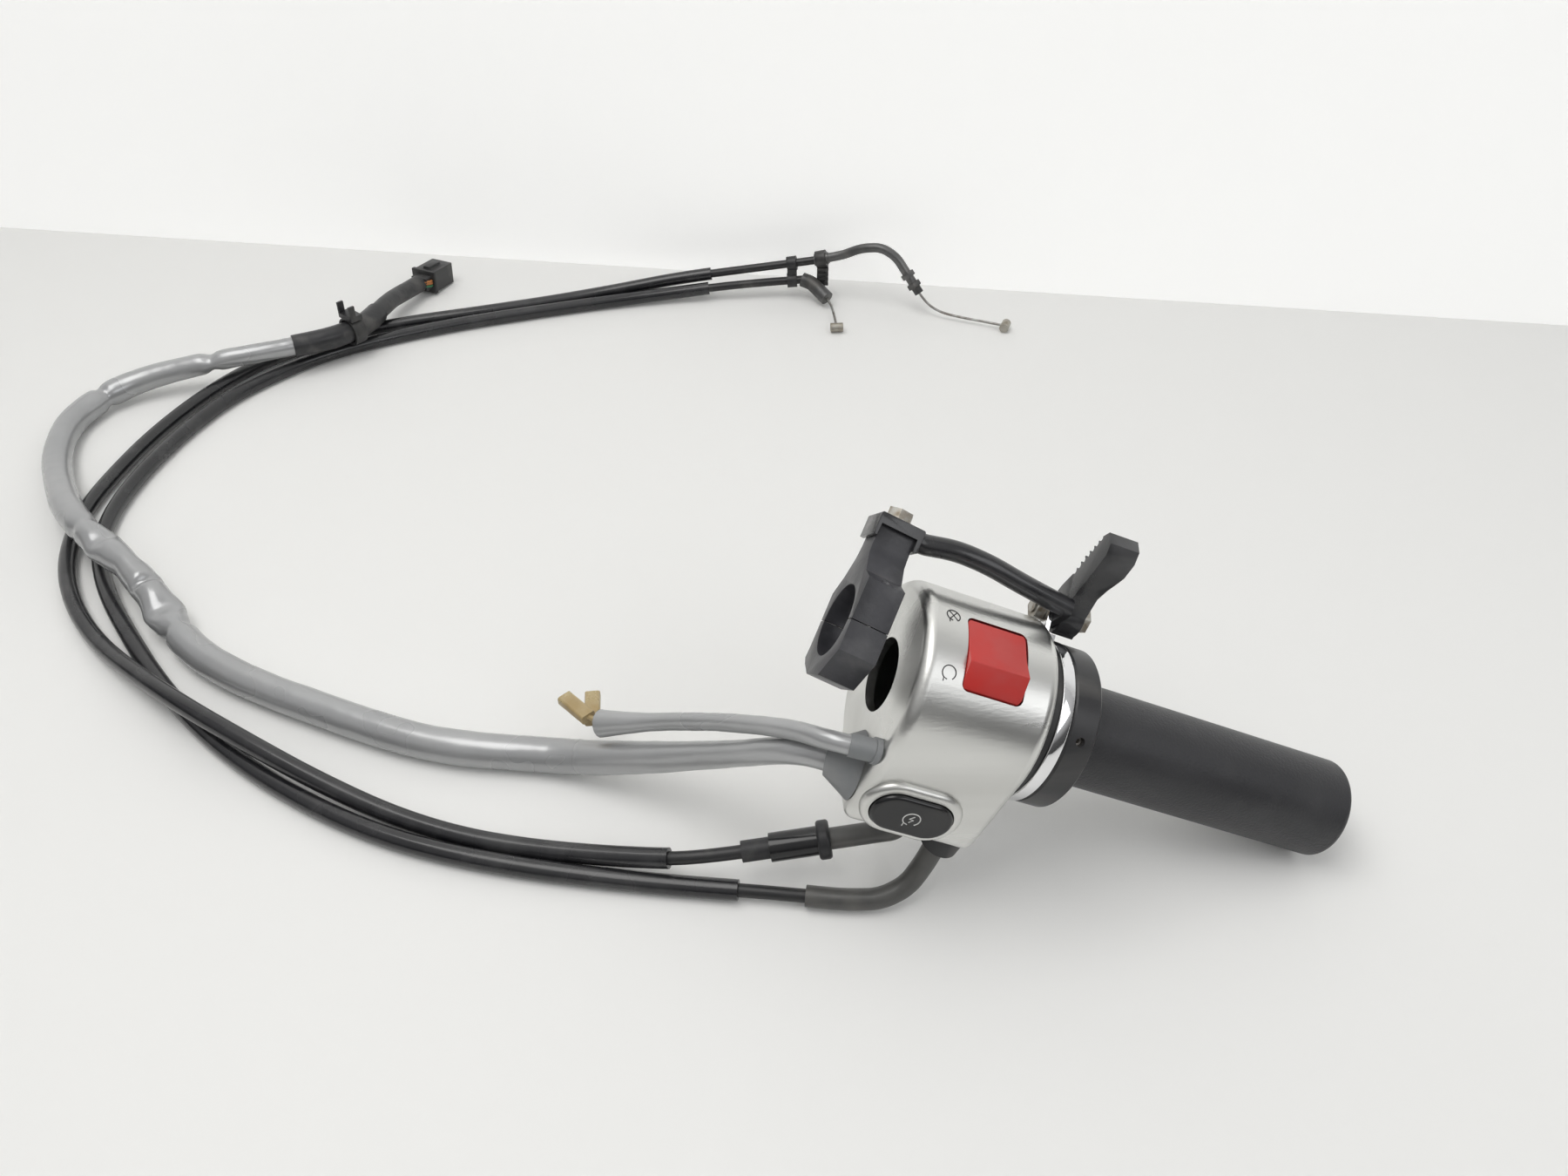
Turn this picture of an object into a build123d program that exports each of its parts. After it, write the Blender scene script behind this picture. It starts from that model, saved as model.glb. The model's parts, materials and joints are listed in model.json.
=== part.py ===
"""Right-hand motorcycle throttle grip with switch housing, throttle lock, cables and harness.

The grip unit is modelled in a bar frame: X runs along the handlebar axis from the inboard
face of the housing out to the grip end, Y points away from the rider and Z is up. One
placement tilts it and sets it on the table. Cords are listed in the table frame. Millimetres.
"""
import math
import os

from build123d import *

# ---- Handlebar and placement
BAR_D = 25.4
BAR_TILT = 22.7
BORE_CENTRE = (-55.6, 0.0, 84.4)
ORIGIN = (5.3, -1.8, 0.0)

# ---- Clearances
RUNNING_GAP = 0.1
HOUSING_BORE_GAP = 0.15
BODY_GAP = 0.3
PART_GAP = 0.05

# ---- Switch housing
HOUSING_R = 33.75
HOUSING_LENGTH = 48.3
HOUSING_WALL = 2.8
END_WALL = 3.2
OUTER_END_WALL = 3.0
INBOARD_ROUND = 4.0
OUTBOARD_ROUND = 4.2
LOBE_FRONT_DROP = 2.25
LOBE_LOW_DROP = 6.25
LOBE_LOW_Y = -8.0
LOBE_BACK_Y = 6.0
LOBE_CORNER_R = 3.5
LOBE_BLEND_R = 8.0
SPLIT_ANGLE = -47.5
SEAM_GAP = 0.04
BOSS_R = 3.6
SCREW_R = 2.0
SCREW_HEAD_R = 3.7
SCREW_HEAD_H = 2.6
SCREW_ENGAGEMENT = 9.0
SCREW_SEAT = 9.0
SCREW_1_INSET = 6.55
SCREW_1_X = 21.0
SCREW_2_INSET = 5.75
SCREW_2_END_GAP = 6.4

# ---- Kill switch
KILL_ANGLE = 67.5
KILL_START = 14.0
KILL_LENGTH = 21.5
KILL_HALF_WIDTH = 12.9
KILL_CORNER_R = 2.4
ROCKER_GAP = 0.35
ROCKER_PIVOT_DEPTH = 6.25
ROCKER_RIDGE_RISE = 2.65
ROCKER_PIN_R = 1.2
KILL_BASE_WALL = 2.4
KILL_BASE_DEPTH = 16.15
KILL_BASE_FLOOR = 4.6

# ---- Start switch
START_CENTRE_X = 19.5
START_CENTRE_Z = -23.4
START_LENGTH = 28.4
START_HEIGHT = 16.6
START_GAP = 0.4
START_PAD_MARGIN = 3.4
START_PAD_RISE = 2.2
START_PAD_ROUND = 2.0
START_PROUD = 1.6
START_FLANGE = 0.8
START_FLANGE_T = 1.5
START_TRAVEL = 2.5
START_BASE_FLOOR = 3.0
START_BASE_DEPTH = 10.0
START_STEM_R = 2.6

# ---- Throttle tube and grip
TUBE_START = 10.0
TUBE_WALL = 1.9
DRUM_R = 20.0
DRUM_END_GAP = 0.3
DRUM_WIDTH = 6.6
GROOVE_R = 1.1
GRIP_LENGTH = 110.3
GRIP_R = 17.9
GRIP_CAP = 5.3
GRIP_ROUND = 2.2
LOCK_WIDTH = 8.7
COLLAR_LENGTH = 10.0
COLLAR_R = 28.0
COLLAR_HUB_R = 23.0
SET_SCREW_ANGLE = 36.0
SET_SCREW_R = 1.6

# ---- Throttle lock
LINER_FLANGE = 3.6
LINER_R = 27.3
LINER_LIP = 0.3
LOCK_AXIS_INSET = 6.75
BAND_R = 28.4
LOCK_BOLT_R = 2.5
LOCK_NUT_FLAT = 8.0
LOCK_NUT_H = 3.6
LOCK_HEAD_FLAT = 8.0
LOCK_HEAD_H = 3.4
EAR_T = 1.6
EAR_R = 5.5
EAR_WIDTH = 11.0
EAR_FOOT_H = 2.0
ARM_ROD_R = 3.6
ARM_EYE_R = 6.0
ARM_EYE_T = 2.7
ARM_ROUTE = [(10.0, -2.4, 12.6), (22.0, -4.0, 12.6), (36.0, -5.6, 10.4)]
ARM_END = (-6.4, 7.6)
LEVER_NECK_W = 8.2
LEVER_PAD_W = 11.0
LEVER_HUB_R = 7.0
TOOTH_R = 1.15
TOOTH_COUNT = 7
TOOTH_PROUD = 0.35
LEVER_OUTLINE = [(-6.4, -4.4), (-5.4, 4.0), (-3.8, 13.0), (-4.5, 23.0), (-4.5, 31.2), (-2.4, 35.0), (2.2, 36.0),
                 (4.2, 32.4), (5.9, 21.0), (5.4, 14.0), (6.8, 7.0), (7.0, 0.0), (4.0, -5.8), (-1.0, -7.2)]

# ---- Stay clamp
CLAMP_ORIGIN = (-22.7, 3.3, 13.7)
CLAMP_AXIS = (0.9915, -0.104, -0.080)
CLAMP_POST = (0.130, 0.703, 0.6995)
CLAMP_T = 13.0
CLAMP_HALF_W = 16.5
CLAMP_SEAM = 0.3
POST_HALF_W = 5.2
POST_TOP = 33.8
CAP_T = 3.8
CAP_OVERHANG = 1.5
CAP_LIP_T = 2.4
CAP_LIP_DROP = 4.2
CAP_HALF_W = 7.0
CLAMP_SCREW_R = 1.2
CLAMP_SCREW_HEAD_R = 1.8
CLAMP_SCREW_HEAD_H = 1.6
CLAMP_SCREW_Y = 14.6
CAP_BOLT_R = 2.5
CAP_BOLT_FLAT = 8.0
CAP_BOLT_HEAD_H = 4.0
CAP_BOLT_DEPTH = 15.0

# ---- Cable pipes and adjuster
PIPE_D = 7.8
CABLE_D = 5.0
CABLE_FIT = 0.1
LOWER_PIPE_INSET = 6.8
LOWER_PIPE_Y = -24.0
PIPE_PITCH = 13.0
UPPER_PIPE_Y = -18.0
PIPE_SPIGOT_R = 4.6
PIPE_COLLAR_R = 7.2
PIPE_COLLAR_DROP = 7.0
UPPER_COLLAR_R = 5.4
UPPER_COLLAR_DROP = 4.0
SLEEVE_D = 7.7
ADJUSTER_START = (-71.6, -17.5, 20.2)
ADJUSTER_END = (-103.0, -20.0, 16.0)
ADJUSTER_FLANGE_R = 7.0
ADJUSTER_FLANGE_T = 4.6
ADJUSTER_BODY_R = 5.2
ADJUSTER_BODY_L = 17.0
ADJUSTER_TIP_R = 3.9

# ---- Harness and brake switch lead
HARNESS_D = 14.0
HARNESS_NECK_D = 9.5
HARNESS_TAIL_D = 10.5
SLEEVE_TAPE_D = 12.6
TAPE_CLIP_W = 7.5
TAPE_CLIP_X = 4.2
TAPE_CLIP_WALL = 2.0
TAPE_CLIP_GAP = 0.6
LEAD_D = 6.6
BOOT_X = -10.0
BOOT_Y = -21.0
BOOT_Z = -23.0
BOOT_TIP_R = 6.2
BOOT_LONG = 12.0
BOOT_SHORT = 8.5
LEAD_BOOT_START = (0.0, -29.0, -6.5)
LEAD_BOOT_END = (-9.0, -27.5, -8.5)
LEAD_BOOT_R = 3.9
LEAD_BOOT_FLANGE = 0.5
LEAD_PLUG_R = 3.0
TERMINAL_L = 15.0
TERMINAL_W = 6.0
TERMINAL_T = 4.0
TERMINAL_WIRE_R = 1.1
TERMINAL_PLACES = [(135.0, (-162.0, 31.8, 30.2), 1.4), (96.0, (-161.2, 33.6, 25.8), -1.4)]

# ---- Cable ends
THREAD_D = 5.6
END_THREAD_AT = 25.8
END_NUT_FLAT = 8.0
END_NUT_H = 3.0
WIRE_D = 1.5
NIPPLE_R = 2.7
NIPPLE_L = 7.4
FERRULE_D = 7.0
END_PIPE_D = 5.6
RETURN_FITTING_D = 8.8
CLIP_T = 6.0
CLIP_X = -86.0
BRACKET_X = -67.5
BRACKET_W = 7.0
BRACKET_Y = (422.0, 426.6)
BRACKET_Z = (9.0, 26.0)
BRACKET_RING_R = 5.2
BRACKET_RIBS = 4
BRACKET_SEAT_GAP = 0.5
CONNECTOR_L = 20.0
CONNECTOR_W = 15.0
CONNECTOR_H = 13.0
CONNECTOR_STEP = 5.0

# ---- Cord routes in the table frame
LOWER_PIPE_ROUTE = [(-39.0, -25.6, 16.5), (-44.5, -29.2, 8.8), (-54.0, -32.4, 5.3), (-67.0, -32.4, 5.0),
                    (-80.3, -30.8, 5.0)]
UPPER_PIPE_ROUTE = [(-48.8, -17.4, 25.4), (-58.2, -16.4, 22.0), (-71.6, -17.5, 20.2)]
UPPER_CABLE_ROUTE = [(-99.0, -19.7, 16.5), (-119.8, -21.3, 13.8), (-138.0, -18.4, 10.4), (-161.0, -14.1, 7.0),
                     (-184.0, -9.5, 4.7), (-209.0, -3.8, 4.1), (-237.0, 6.1, 4.8), (-268.0, 20.0, 8.6),
                     (-297.0, 35.0, 12.8), (-326.0, 52.0, 14.6), (-355.0, 74.0, 10.5), (-383.0, 98.0, 5.5),
                     (-405.0, 123.0, 4.1), (-421.0, 150.0, 4.2), (-429.5, 178.0, 4.1), (-431.5, 203.0, 4.2),
                     (-429.0, 229.0, 4.1), (-424.0, 258.0, 4.2), (-415.0, 289.0, 4.1), (-402.0, 318.0, 4.2),
                     (-383.0, 345.0, 4.1), (-357.0, 366.0, 4.2), (-325.0, 382.5, 4.1), (-281.0, 396.0, 4.2),
                     (-239.0, 408.8, 4.4), (-197.0, 420.6, 6.4), (-154.0, 428.0, 12.0), (-112.0, 429.0, 17.4),
                     (-69.1, 425.2, 25.2)]
LOWER_CABLE_ROUTE = [(-77.3, -31.2, 5.0), (-95.0, -29.2, 5.0), (-113.0, -27.2, 4.4), (-135.0, -24.8, 4.1),
                     (-160.0, -21.6, 4.2), (-186.0, -17.4, 4.1), (-212.0, -11.6, 4.2), (-237.0, -3.6, 4.1),
                     (-264.0, 9.0, 4.2), (-295.0, 28.0, 4.1), (-325.0, 51.5, 4.2), (-352.0, 79.0, 4.1),
                     (-374.0, 106.0, 4.2), (-392.0, 129.5, 4.1), (-405.0, 151.0, 4.2), (-414.0, 173.0, 4.1),
                     (-417.5, 195.0, 4.2), (-417.0, 218.0, 4.1), (-413.0, 245.0, 4.2), (-406.0, 272.0, 4.1),
                     (-396.0, 298.0, 4.2), (-380.0, 322.0, 4.1), (-357.0, 345.0, 4.2), (-328.0, 364.0, 4.1),
                     (-287.0, 383.0, 4.2), (-242.0, 398.4, 4.1), (-198.0, 411.4, 4.3), (-154.0, 420.0, 6.2),
                     (-116.0, 424.0, 9.8), (-76.5, 424.6, 12.6)]
SLEEVE_END_SHARE = 0.5
NECK_ROUTE = [(-73.7, -21.0, 67.0), (-82.5, -18.4, 67.6), (-93.0, -11.8, 60.0), (-104.0, -4.4, 50.2),
              (-119.0, 6.0, 37.6), (-137.0, 16.2, 25.2), (-155.0, 24.6, 15.8)]
HARNESS_ROUTE = [(-155.0, 24.6, 15.8), (-169.0, 31.1, 8.5), (-190.0, 34.4, 7.3), (-212.0, 36.4, 7.4),
                 (-232.0, 40.6, 7.3), (-253.0, 48.2, 7.4), (-275.0, 57.6, 7.3), (-297.0, 67.4, 7.4),
                 (-319.0, 78.4, 7.3), (-338.0, 91.0, 7.6), (-354.0, 107.0, 8.6), (-368.0, 124.0, 13.0),
                 (-385.0, 140.0, 17.6), (-405.0, 155.0, 19.4), (-426.0, 177.0, 18.4), (-443.0, 203.0, 13.0),
                 (-457.0, 227.0, 8.4), (-466.0, 250.0, 7.3), (-469.0, 274.0, 7.4), (-460.0, 296.0, 8.4),
                 (-442.0, 310.0, 11.4), (-420.0, 315.0, 14.6)]
TAIL_ROUTE = [(-420.0, 315.0, 14.6), (-402.0, 319.1, 17.2), (-384.0, 325.4, 17.6), (-366.3, 334.2, 17.0)]
TAPE_ROUTE = [(-366.3, 334.2, 17.0), (-354.7, 340.0, 16.6), (-342.6, 348.0, 16.6), (-332.0, 361.0, 16.2),
              (-329.6, 376.0, 15.4)]
BRANCH_ROUTE = [(-329.6, 376.0, 15.4), (-327.1, 391.7, 14.6), (-324.0, 408.6, 10.8), (-316.6, 425.6, 9.2)]
LEAD_ROUTE = [(-67.2, -27.5, 80.0), (-74.0, -26.4, 81.2), (-83.5, -17.6, 76.0), (-95.0, -7.6, 67.8),
              (-109.0, 3.8, 57.4), (-125.0, 14.6, 46.4), (-142.0, 23.6, 36.2), (-157.0, 29.6, 29.4)]
END_PIPE_ROUTE = [(-60.5, 423.9, 27.6), (-51.5, 422.2, 30.6), (-41.0, 418.5, 36.4), (-29.0, 414.8, 38.6),
                  (-20.0, 411.6, 34.0), (-13.9, 408.0, 25.8)]
PULL_WIRE_ROUTE = [(-7.7, 404.3, 17.4), (-3.1, 401.6, 11.3), (2.5, 398.8, 6.9), (9.5, 396.2, 4.5),
                   (18.5, 393.2, 3.6), (30.5, 388.8, 3.4), (43.0, 384.0, 3.2)]
RETURN_FITTING_ROUTE = [(-76.5, 424.6, 12.6), (-70.8, 422.4, 11.4), (-66.2, 417.4, 8.8), (-61.4, 412.0, 6.2)]
RETURN_WIRE_ROUTE = [(-63.7, 414.8, 7.4), (-59.1, 409.2, 4.2), (-57.9, 401.5, 3.3), (-57.0, 392.5, 3.1),
                     (-56.4, 383.6, 3.2)]

POD = Location(BORE_CENTRE, (0, BAR_TILT, 0))
BAR_R = BAR_D / 2
TUBE_BORE_R = BAR_R + RUNNING_GAP
TUBE_R = TUBE_BORE_R + TUBE_WALL
HOUSING_BORE_R = BAR_R + HOUSING_BORE_GAP
CAVITY_R = HOUSING_R - HOUSING_WALL
LOBE_FRONT_Z = -HOUSING_R - LOBE_FRONT_DROP
LOBE_LOW_Z = -HOUSING_R - LOBE_LOW_DROP
HOUSING_SCREWS = [(HOUSING_R - SCREW_1_INSET, SCREW_1_X), (SCREW_2_INSET - HOUSING_R, HOUSING_LENGTH - SCREW_2_END_GAP)]
ROCKER_PIVOT_R = HOUSING_R - ROCKER_PIVOT_DEPTH
ROCKER_RIDGE_R = HOUSING_R + ROCKER_RIDGE_RISE
KILL_BASE_FLOOR_R = HOUSING_R - KILL_BASE_DEPTH
LOWER_PIPE_X = HOUSING_LENGTH - LOWER_PIPE_INSET
UPPER_PIPE_X = LOWER_PIPE_X - PIPE_PITCH
LOCK_AXIS_Y = HOUSING_R - LOCK_AXIS_INSET
LOCK_AXIS_Z = HOUSING_R - LOCK_AXIS_INSET
LINER_FLANGE_R = LINER_R + LINER_LIP
DRUM_START = HOUSING_LENGTH - OUTER_END_WALL - DRUM_WIDTH - DRUM_END_GAP
COLLAR_START = HOUSING_LENGTH + LOCK_WIDTH
COLLAR_END = COLLAR_START + COLLAR_LENGTH
GRIP_START = COLLAR_END
GRIP_END = GRIP_START + GRIP_LENGTH
BAND_START = HOUSING_LENGTH + LINER_FLANGE + RUNNING_GAP
LINER_END = COLLAR_START - BODY_GAP * 2
BAND_END = LINER_END
CLAMP = Plane(origin=CLAMP_ORIGIN, x_dir=CLAMP_AXIS, z_dir=CLAMP_POST)
EAR_X = BAND_START - EAR_T
ARM_EYE_X = BAND_START + 0.2
LEVER_X = ARM_EYE_X + ARM_EYE_T + BODY_GAP
PARTS = {}


# ---- Helpers
def bar_ring(start, end, outer_r, inner_r=0.0):
    """A disc or ring about the bar axis from start to end."""
    sketch = Circle(outer_r)
    if inner_r:
        sketch -= Circle(inner_r)
    return extrude(Plane.YZ.offset(start) * sketch, end - start)


def rod(start, end, radius):
    """A round rod between two points."""
    a = Vector(*start)
    b = Vector(*end)
    return extrude(Plane(origin=a, z_dir=b - a) * Circle(radius), (b - a).length)


def rod_ring(start, end, outer_r, inner_r):
    """A tube between two points."""
    a = Vector(*start)
    b = Vector(*end)
    return extrude(Plane(origin=a, z_dir=b - a) * (Circle(outer_r) - Circle(inner_r)), (b - a).length)


def hexagon_between(start, end, across_flats, turn=0.0):
    """A hexagonal prism between two points."""
    a = Vector(*start)
    b = Vector(*end)
    radius = across_flats / 2 / math.cos(math.radians(30))
    hexagon = Rot(0, 0, turn) * RegularPolygon(radius, 6)
    return extrude(Plane(origin=a, z_dir=b - a) * hexagon, (b - a).length)


def polygon_prism(points, start, end):
    """Extrude a closed outline given in the bar frame's Y and Z from start to end along the bar."""
    outline = make_face(Polyline(*[(0, y, z) for y, z in points], close=True))
    return extrude(Pos(start, 0, 0) * outline, end - start, dir=(1, 0, 0))


def at_length(start, end, distance):
    """The point at a distance along the line from start to end."""
    a = Vector(*start)
    b = Vector(*end)
    return tuple(a + (b - a).normalized() * distance)


def corner_radii(points):
    """One arc radius for each corner of a cord's route."""
    vectors = [Vector(*p) for p in points]
    radii = []
    for before, here, after in zip(vectors, vectors[1:], vectors[2:]):
        first = here - before
        second = after - here
        turn = first.get_angle(second)
        radii.append(0.45 * min(first.length, second.length) / math.tan(math.radians(turn) / 2))
    return radii


def cord_tube(points, diameter, name, inner=0.0, radii=None):
    """A tube of straight runs and tangent arcs along a route, with its radii and volume printed."""
    if radii is None:
        radii = corner_radii(points)
    path = FilletPolyline(*points, radius=radii)
    section = Circle(diameter / 2)
    if inner:
        section -= Circle(inner / 2)
    start = Plane(origin=path @ 0, z_dir=path % 0)
    tube = sweep(start * section, path=path)
    area = math.pi * (diameter ** 2 - inner ** 2) / 4
    share = tube.volume / (area * path.length)
    print(f"{name}: length {path.length:.0f}, least radius {min(radii):.0f}, volume share {share:.4f}")
    return tube


def add(name, shape, location=None):
    """Keep a sub-part under its node name, in the table frame."""
    PARTS[name] = shape if location is None else location * shape


def placed(shape):
    """A sub-part with the origin moved under the middle of the rigid parts."""
    return shape.moved(Location((-ORIGIN[0], -ORIGIN[1], -ORIGIN[2])))


def add_pod(name, shape):
    """Keep a sub-part that was modelled in the bar frame."""
    add(name, shape, POD)


# ---- Switch housing
def housing_outline(inset):
    """The housing's section across the bar: a circle with a lobe below and to the rider's side."""
    radius = HOUSING_R - inset
    lobe = [(-radius, 0), (-radius, LOBE_FRONT_Z + inset), (LOBE_LOW_Y, LOBE_LOW_Z + inset),
            (LOBE_BACK_Y - inset, -math.sqrt(radius ** 2 - LOBE_BACK_Y ** 2) + 1.0), (0, 0)]
    outline = Circle(radius) + make_face(Polyline(*lobe, close=True))
    corner = max(LOBE_CORNER_R - inset, 0.8)
    outline = fillet([v for v in outline.vertices() if v.Y < LOBE_FRONT_Z + inset + 1], corner)
    return fillet([v for v in outline.vertices() if v.X > 0], LOBE_BLEND_R)


def housing_blank():
    """The housing's outer shape with rounded ends and lobe corners."""
    blank = extrude(Plane.YZ * housing_outline(0), HOUSING_LENGTH)
    blank = fillet(blank.faces().sort_by(Axis.X)[0].edges(), INBOARD_ROUND)
    blank = fillet(blank.faces().sort_by(Axis.X)[-1].edges(), OUTBOARD_ROUND)
    return blank


def start_pad():
    """The raised, rounded boss round the start button."""
    front = -HOUSING_R - START_PAD_RISE
    pad = start_slot(START_PAD_MARGIN, front, -CAVITY_R)
    return fillet(pad.faces().sort_by(Axis.Y)[0].edges(), START_PAD_ROUND)


def split_half(rider_side):
    """A large block on one side of the housing's split plane."""
    normal_angle = SPLIT_ANGLE + 90
    side = 1 if rider_side else -1
    size = 4 * HOUSING_R
    block = Box(3 * HOUSING_LENGTH, size, size, align=(Align.CENTER, Align.CENTER, Align.MIN))
    block = Pos(HOUSING_LENGTH / 2, 0, SEAM_GAP / 2) * block
    turn = 90 - normal_angle if rider_side else -90 - normal_angle
    return Rot(side and turn, 0, 0) * block


def split_point(x, across, lift):
    """A point from the split plane: across it from the bar axis, and lifted to the rider's side."""
    seam = math.radians(SPLIT_ANGLE)
    return (x, across * math.cos(seam) - lift * math.cos(seam + math.pi / 2),
            -across * math.sin(seam) + lift * math.sin(seam + math.pi / 2))


def start_slot(clearance, depth_from, depth_to):
    """The start button's oval between two Y positions."""
    plane = Plane(origin=(START_CENTRE_X, depth_from, START_CENTRE_Z), x_dir=(1, 0, 0), z_dir=(0, 1, 0))
    oval = SlotOverall(START_LENGTH + 2 * clearance, START_HEIGHT + 2 * clearance)
    return extrude(plane * oval, depth_to - depth_from)


def kill_frame():
    """Local frame of the kill switch: X along the bar, Y towards the rider's side, Z outwards."""
    angle = math.radians(KILL_ANGLE)
    outward = (0, -math.cos(angle), math.sin(angle))
    return Plane(origin=(0, 0, 0), x_dir=(1, 0, 0), z_dir=outward)


def kill_window(gap, low, high):
    """The kill switch's rounded opening, made smaller by a gap, between two radii."""
    plate = RectangleRounded(KILL_LENGTH - 2 * gap, 2 * (KILL_HALF_WIDTH - gap), KILL_CORNER_R)
    centre = KILL_START + KILL_LENGTH / 2
    return kill_frame() * extrude(Pos(centre, 0, low) * plate, high - low)


def harness_plug(gap):
    """The grommet's plug through the inboard wall, made smaller by a gap."""
    oval = Ellipse(BOOT_LONG - 1.5 - gap, BOOT_SHORT - 1.5 - gap)
    return Plane.YZ * Pos(BOOT_Y, BOOT_Z) * Rot(0, 0, -SPLIT_ANGLE) * oval


def housing_shell():
    """Both halves in one piece, hollow and with every opening cut."""
    outer = housing_blank() + start_pad()
    cavity = extrude(Plane.YZ.offset(END_WALL) * housing_outline(HOUSING_WALL),
                     HOUSING_LENGTH - END_WALL - OUTER_END_WALL)
    shell = outer - cavity
    for across, x in HOUSING_SCREWS:
        boss = rod(split_point(x, across, -HOUSING_R), split_point(x, across, SCREW_ENGAGEMENT + 2.0), BOSS_R)
        shell += boss & housing_blank()
    shell -= bar_ring(-1, END_WALL + 1, HOUSING_BORE_R)
    shell -= bar_ring(END_WALL + 0.5, HOUSING_LENGTH + 1, TUBE_R + BODY_GAP)
    shell -= kill_window(0, HOUSING_R - 8, HOUSING_R + 8)
    shell -= start_slot(START_GAP, -HOUSING_R - 8, -CAVITY_R + 1)
    shell -= extrude(harness_plug(0), END_WALL + 1)
    shell -= rod((-1, *LEAD_BOOT_START[1:]), (END_WALL + 1, *LEAD_BOOT_START[1:]), LEAD_PLUG_R + PART_GAP)
    for x, y, radius in ((LOWER_PIPE_X, LOWER_PIPE_Y, PIPE_SPIGOT_R), (UPPER_PIPE_X, UPPER_PIPE_Y, PIPE_SPIGOT_R)):
        shell -= rod((x, y, LOBE_LOW_Z - 2), (x, y, LOBE_FRONT_Z + 6), radius + PART_GAP)
    for across, x in HOUSING_SCREWS:
        shell -= rod(split_point(x, across, -HOUSING_R), split_point(x, across, 0), SCREW_R + PART_GAP)
        shell -= rod(split_point(x, across, -HOUSING_R * 1.3), split_point(x, across, -SCREW_SEAT),
                     SCREW_HEAD_R + PART_GAP)
        shell -= rod(split_point(x, across, -1), split_point(x, across, SCREW_ENGAGEMENT + 0.5),
                     SCREW_R + PART_GAP)
    return shell


def main_solid(shape):
    """The largest solid of a shape, without loose slivers from a cut."""
    return shape.solids().sort_by(SortBy.VOLUME)[-1]


def housing():
    """Rear and front housing halves and the screws that hold them together."""
    shell = housing_shell()
    add_pod("rear_housing", main_solid(shell & split_half(True)))
    add_pod("front_housing", main_solid(shell & split_half(False)))
    for number, (across, x) in enumerate(HOUSING_SCREWS, 1):
        seat = split_point(x, across, -SCREW_SEAT)
        head = rod(split_point(x, across, -SCREW_SEAT - SCREW_HEAD_H), seat, SCREW_HEAD_R)
        shank = rod(seat, split_point(x, across, SCREW_ENGAGEMENT), SCREW_R)
        recess = hexagon_between(split_point(x, across, -SCREW_SEAT - SCREW_HEAD_H),
                                 split_point(x, across, -SCREW_SEAT - 0.8), SCREW_HEAD_R)
        add_pod(f"housing_screw_{number}", head + shank - recess)


# ---- Kill switch
def kill_switch():
    """Red rocker on a pin in a black base under the window."""
    frame = kill_frame()
    start = KILL_START + ROCKER_GAP
    length = KILL_LENGTH - 2 * ROCKER_GAP
    reach = KILL_HALF_WIDTH - ROCKER_GAP - 0.5
    low = ROCKER_PIVOT_R - 2.2
    outline = [(-reach, low), (reach, low), (reach, HOUSING_R - 2.9), (4.6, ROCKER_RIDGE_R),
               (-2.5, HOUSING_R - 0.2), (-reach, HOUSING_R - 2.2)]
    profile = make_face(Polyline(*[(0, -y, z) for y, z in outline], close=True))
    swing = Plane.YZ * Pos(0, ROCKER_PIVOT_R) * Circle(KILL_HALF_WIDTH - ROCKER_GAP)
    block = extrude(profile, length, dir=(1, 0, 0)) & extrude(swing, length + 40, both=True)
    ridge = Pos(0, -12, HOUSING_R + 1.4) * Rot(0, -38, 0) * Box(12, 24, 6, align=(Align.MAX, Align.MIN, Align.MIN))
    block -= ridge
    corners = RectangleRounded(length, 2 * (KILL_HALF_WIDTH - ROCKER_GAP), KILL_CORNER_R)
    block &= extrude(Pos(length / 2, 0, 0) * corners, 2 * HOUSING_R)
    block -= rod((-1, 0, ROCKER_PIVOT_R), (length + 1, 0, ROCKER_PIVOT_R), ROCKER_PIN_R + PART_GAP)
    add_pod("kill_rocker", frame * (Pos(start, 0, 0) * block))

    base_x = KILL_START - KILL_BASE_WALL
    base_length = KILL_LENGTH + 2 * KILL_BASE_WALL
    height = HOUSING_R - KILL_BASE_FLOOR_R
    base = Pos(base_x, 0, KILL_BASE_FLOOR_R) * Box(base_length, 2 * KILL_HALF_WIDTH + 3, height,
                                                   align=(Align.MIN, Align.CENTER, Align.MIN))
    base &= bar_ring(base_x, base_x + base_length, CAVITY_R - PART_GAP)
    pocket_low = KILL_BASE_FLOOR_R + KILL_BASE_FLOOR
    base -= Pos(KILL_START, 0, pocket_low) * Box(KILL_LENGTH, 2 * KILL_HALF_WIDTH, height,
                                                 align=(Align.MIN, Align.CENTER, Align.MIN))
    pin_start = (base_x + 0.6, 0, ROCKER_PIVOT_R)
    pin_end = (base_x + base_length - 0.6, 0, ROCKER_PIVOT_R)
    base -= rod(pin_start, pin_end, ROCKER_PIN_R)
    add_pod("kill_switch_base", frame * base)
    add_pod("kill_switch_pin", frame * rod(pin_start, pin_end, ROCKER_PIN_R))


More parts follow.
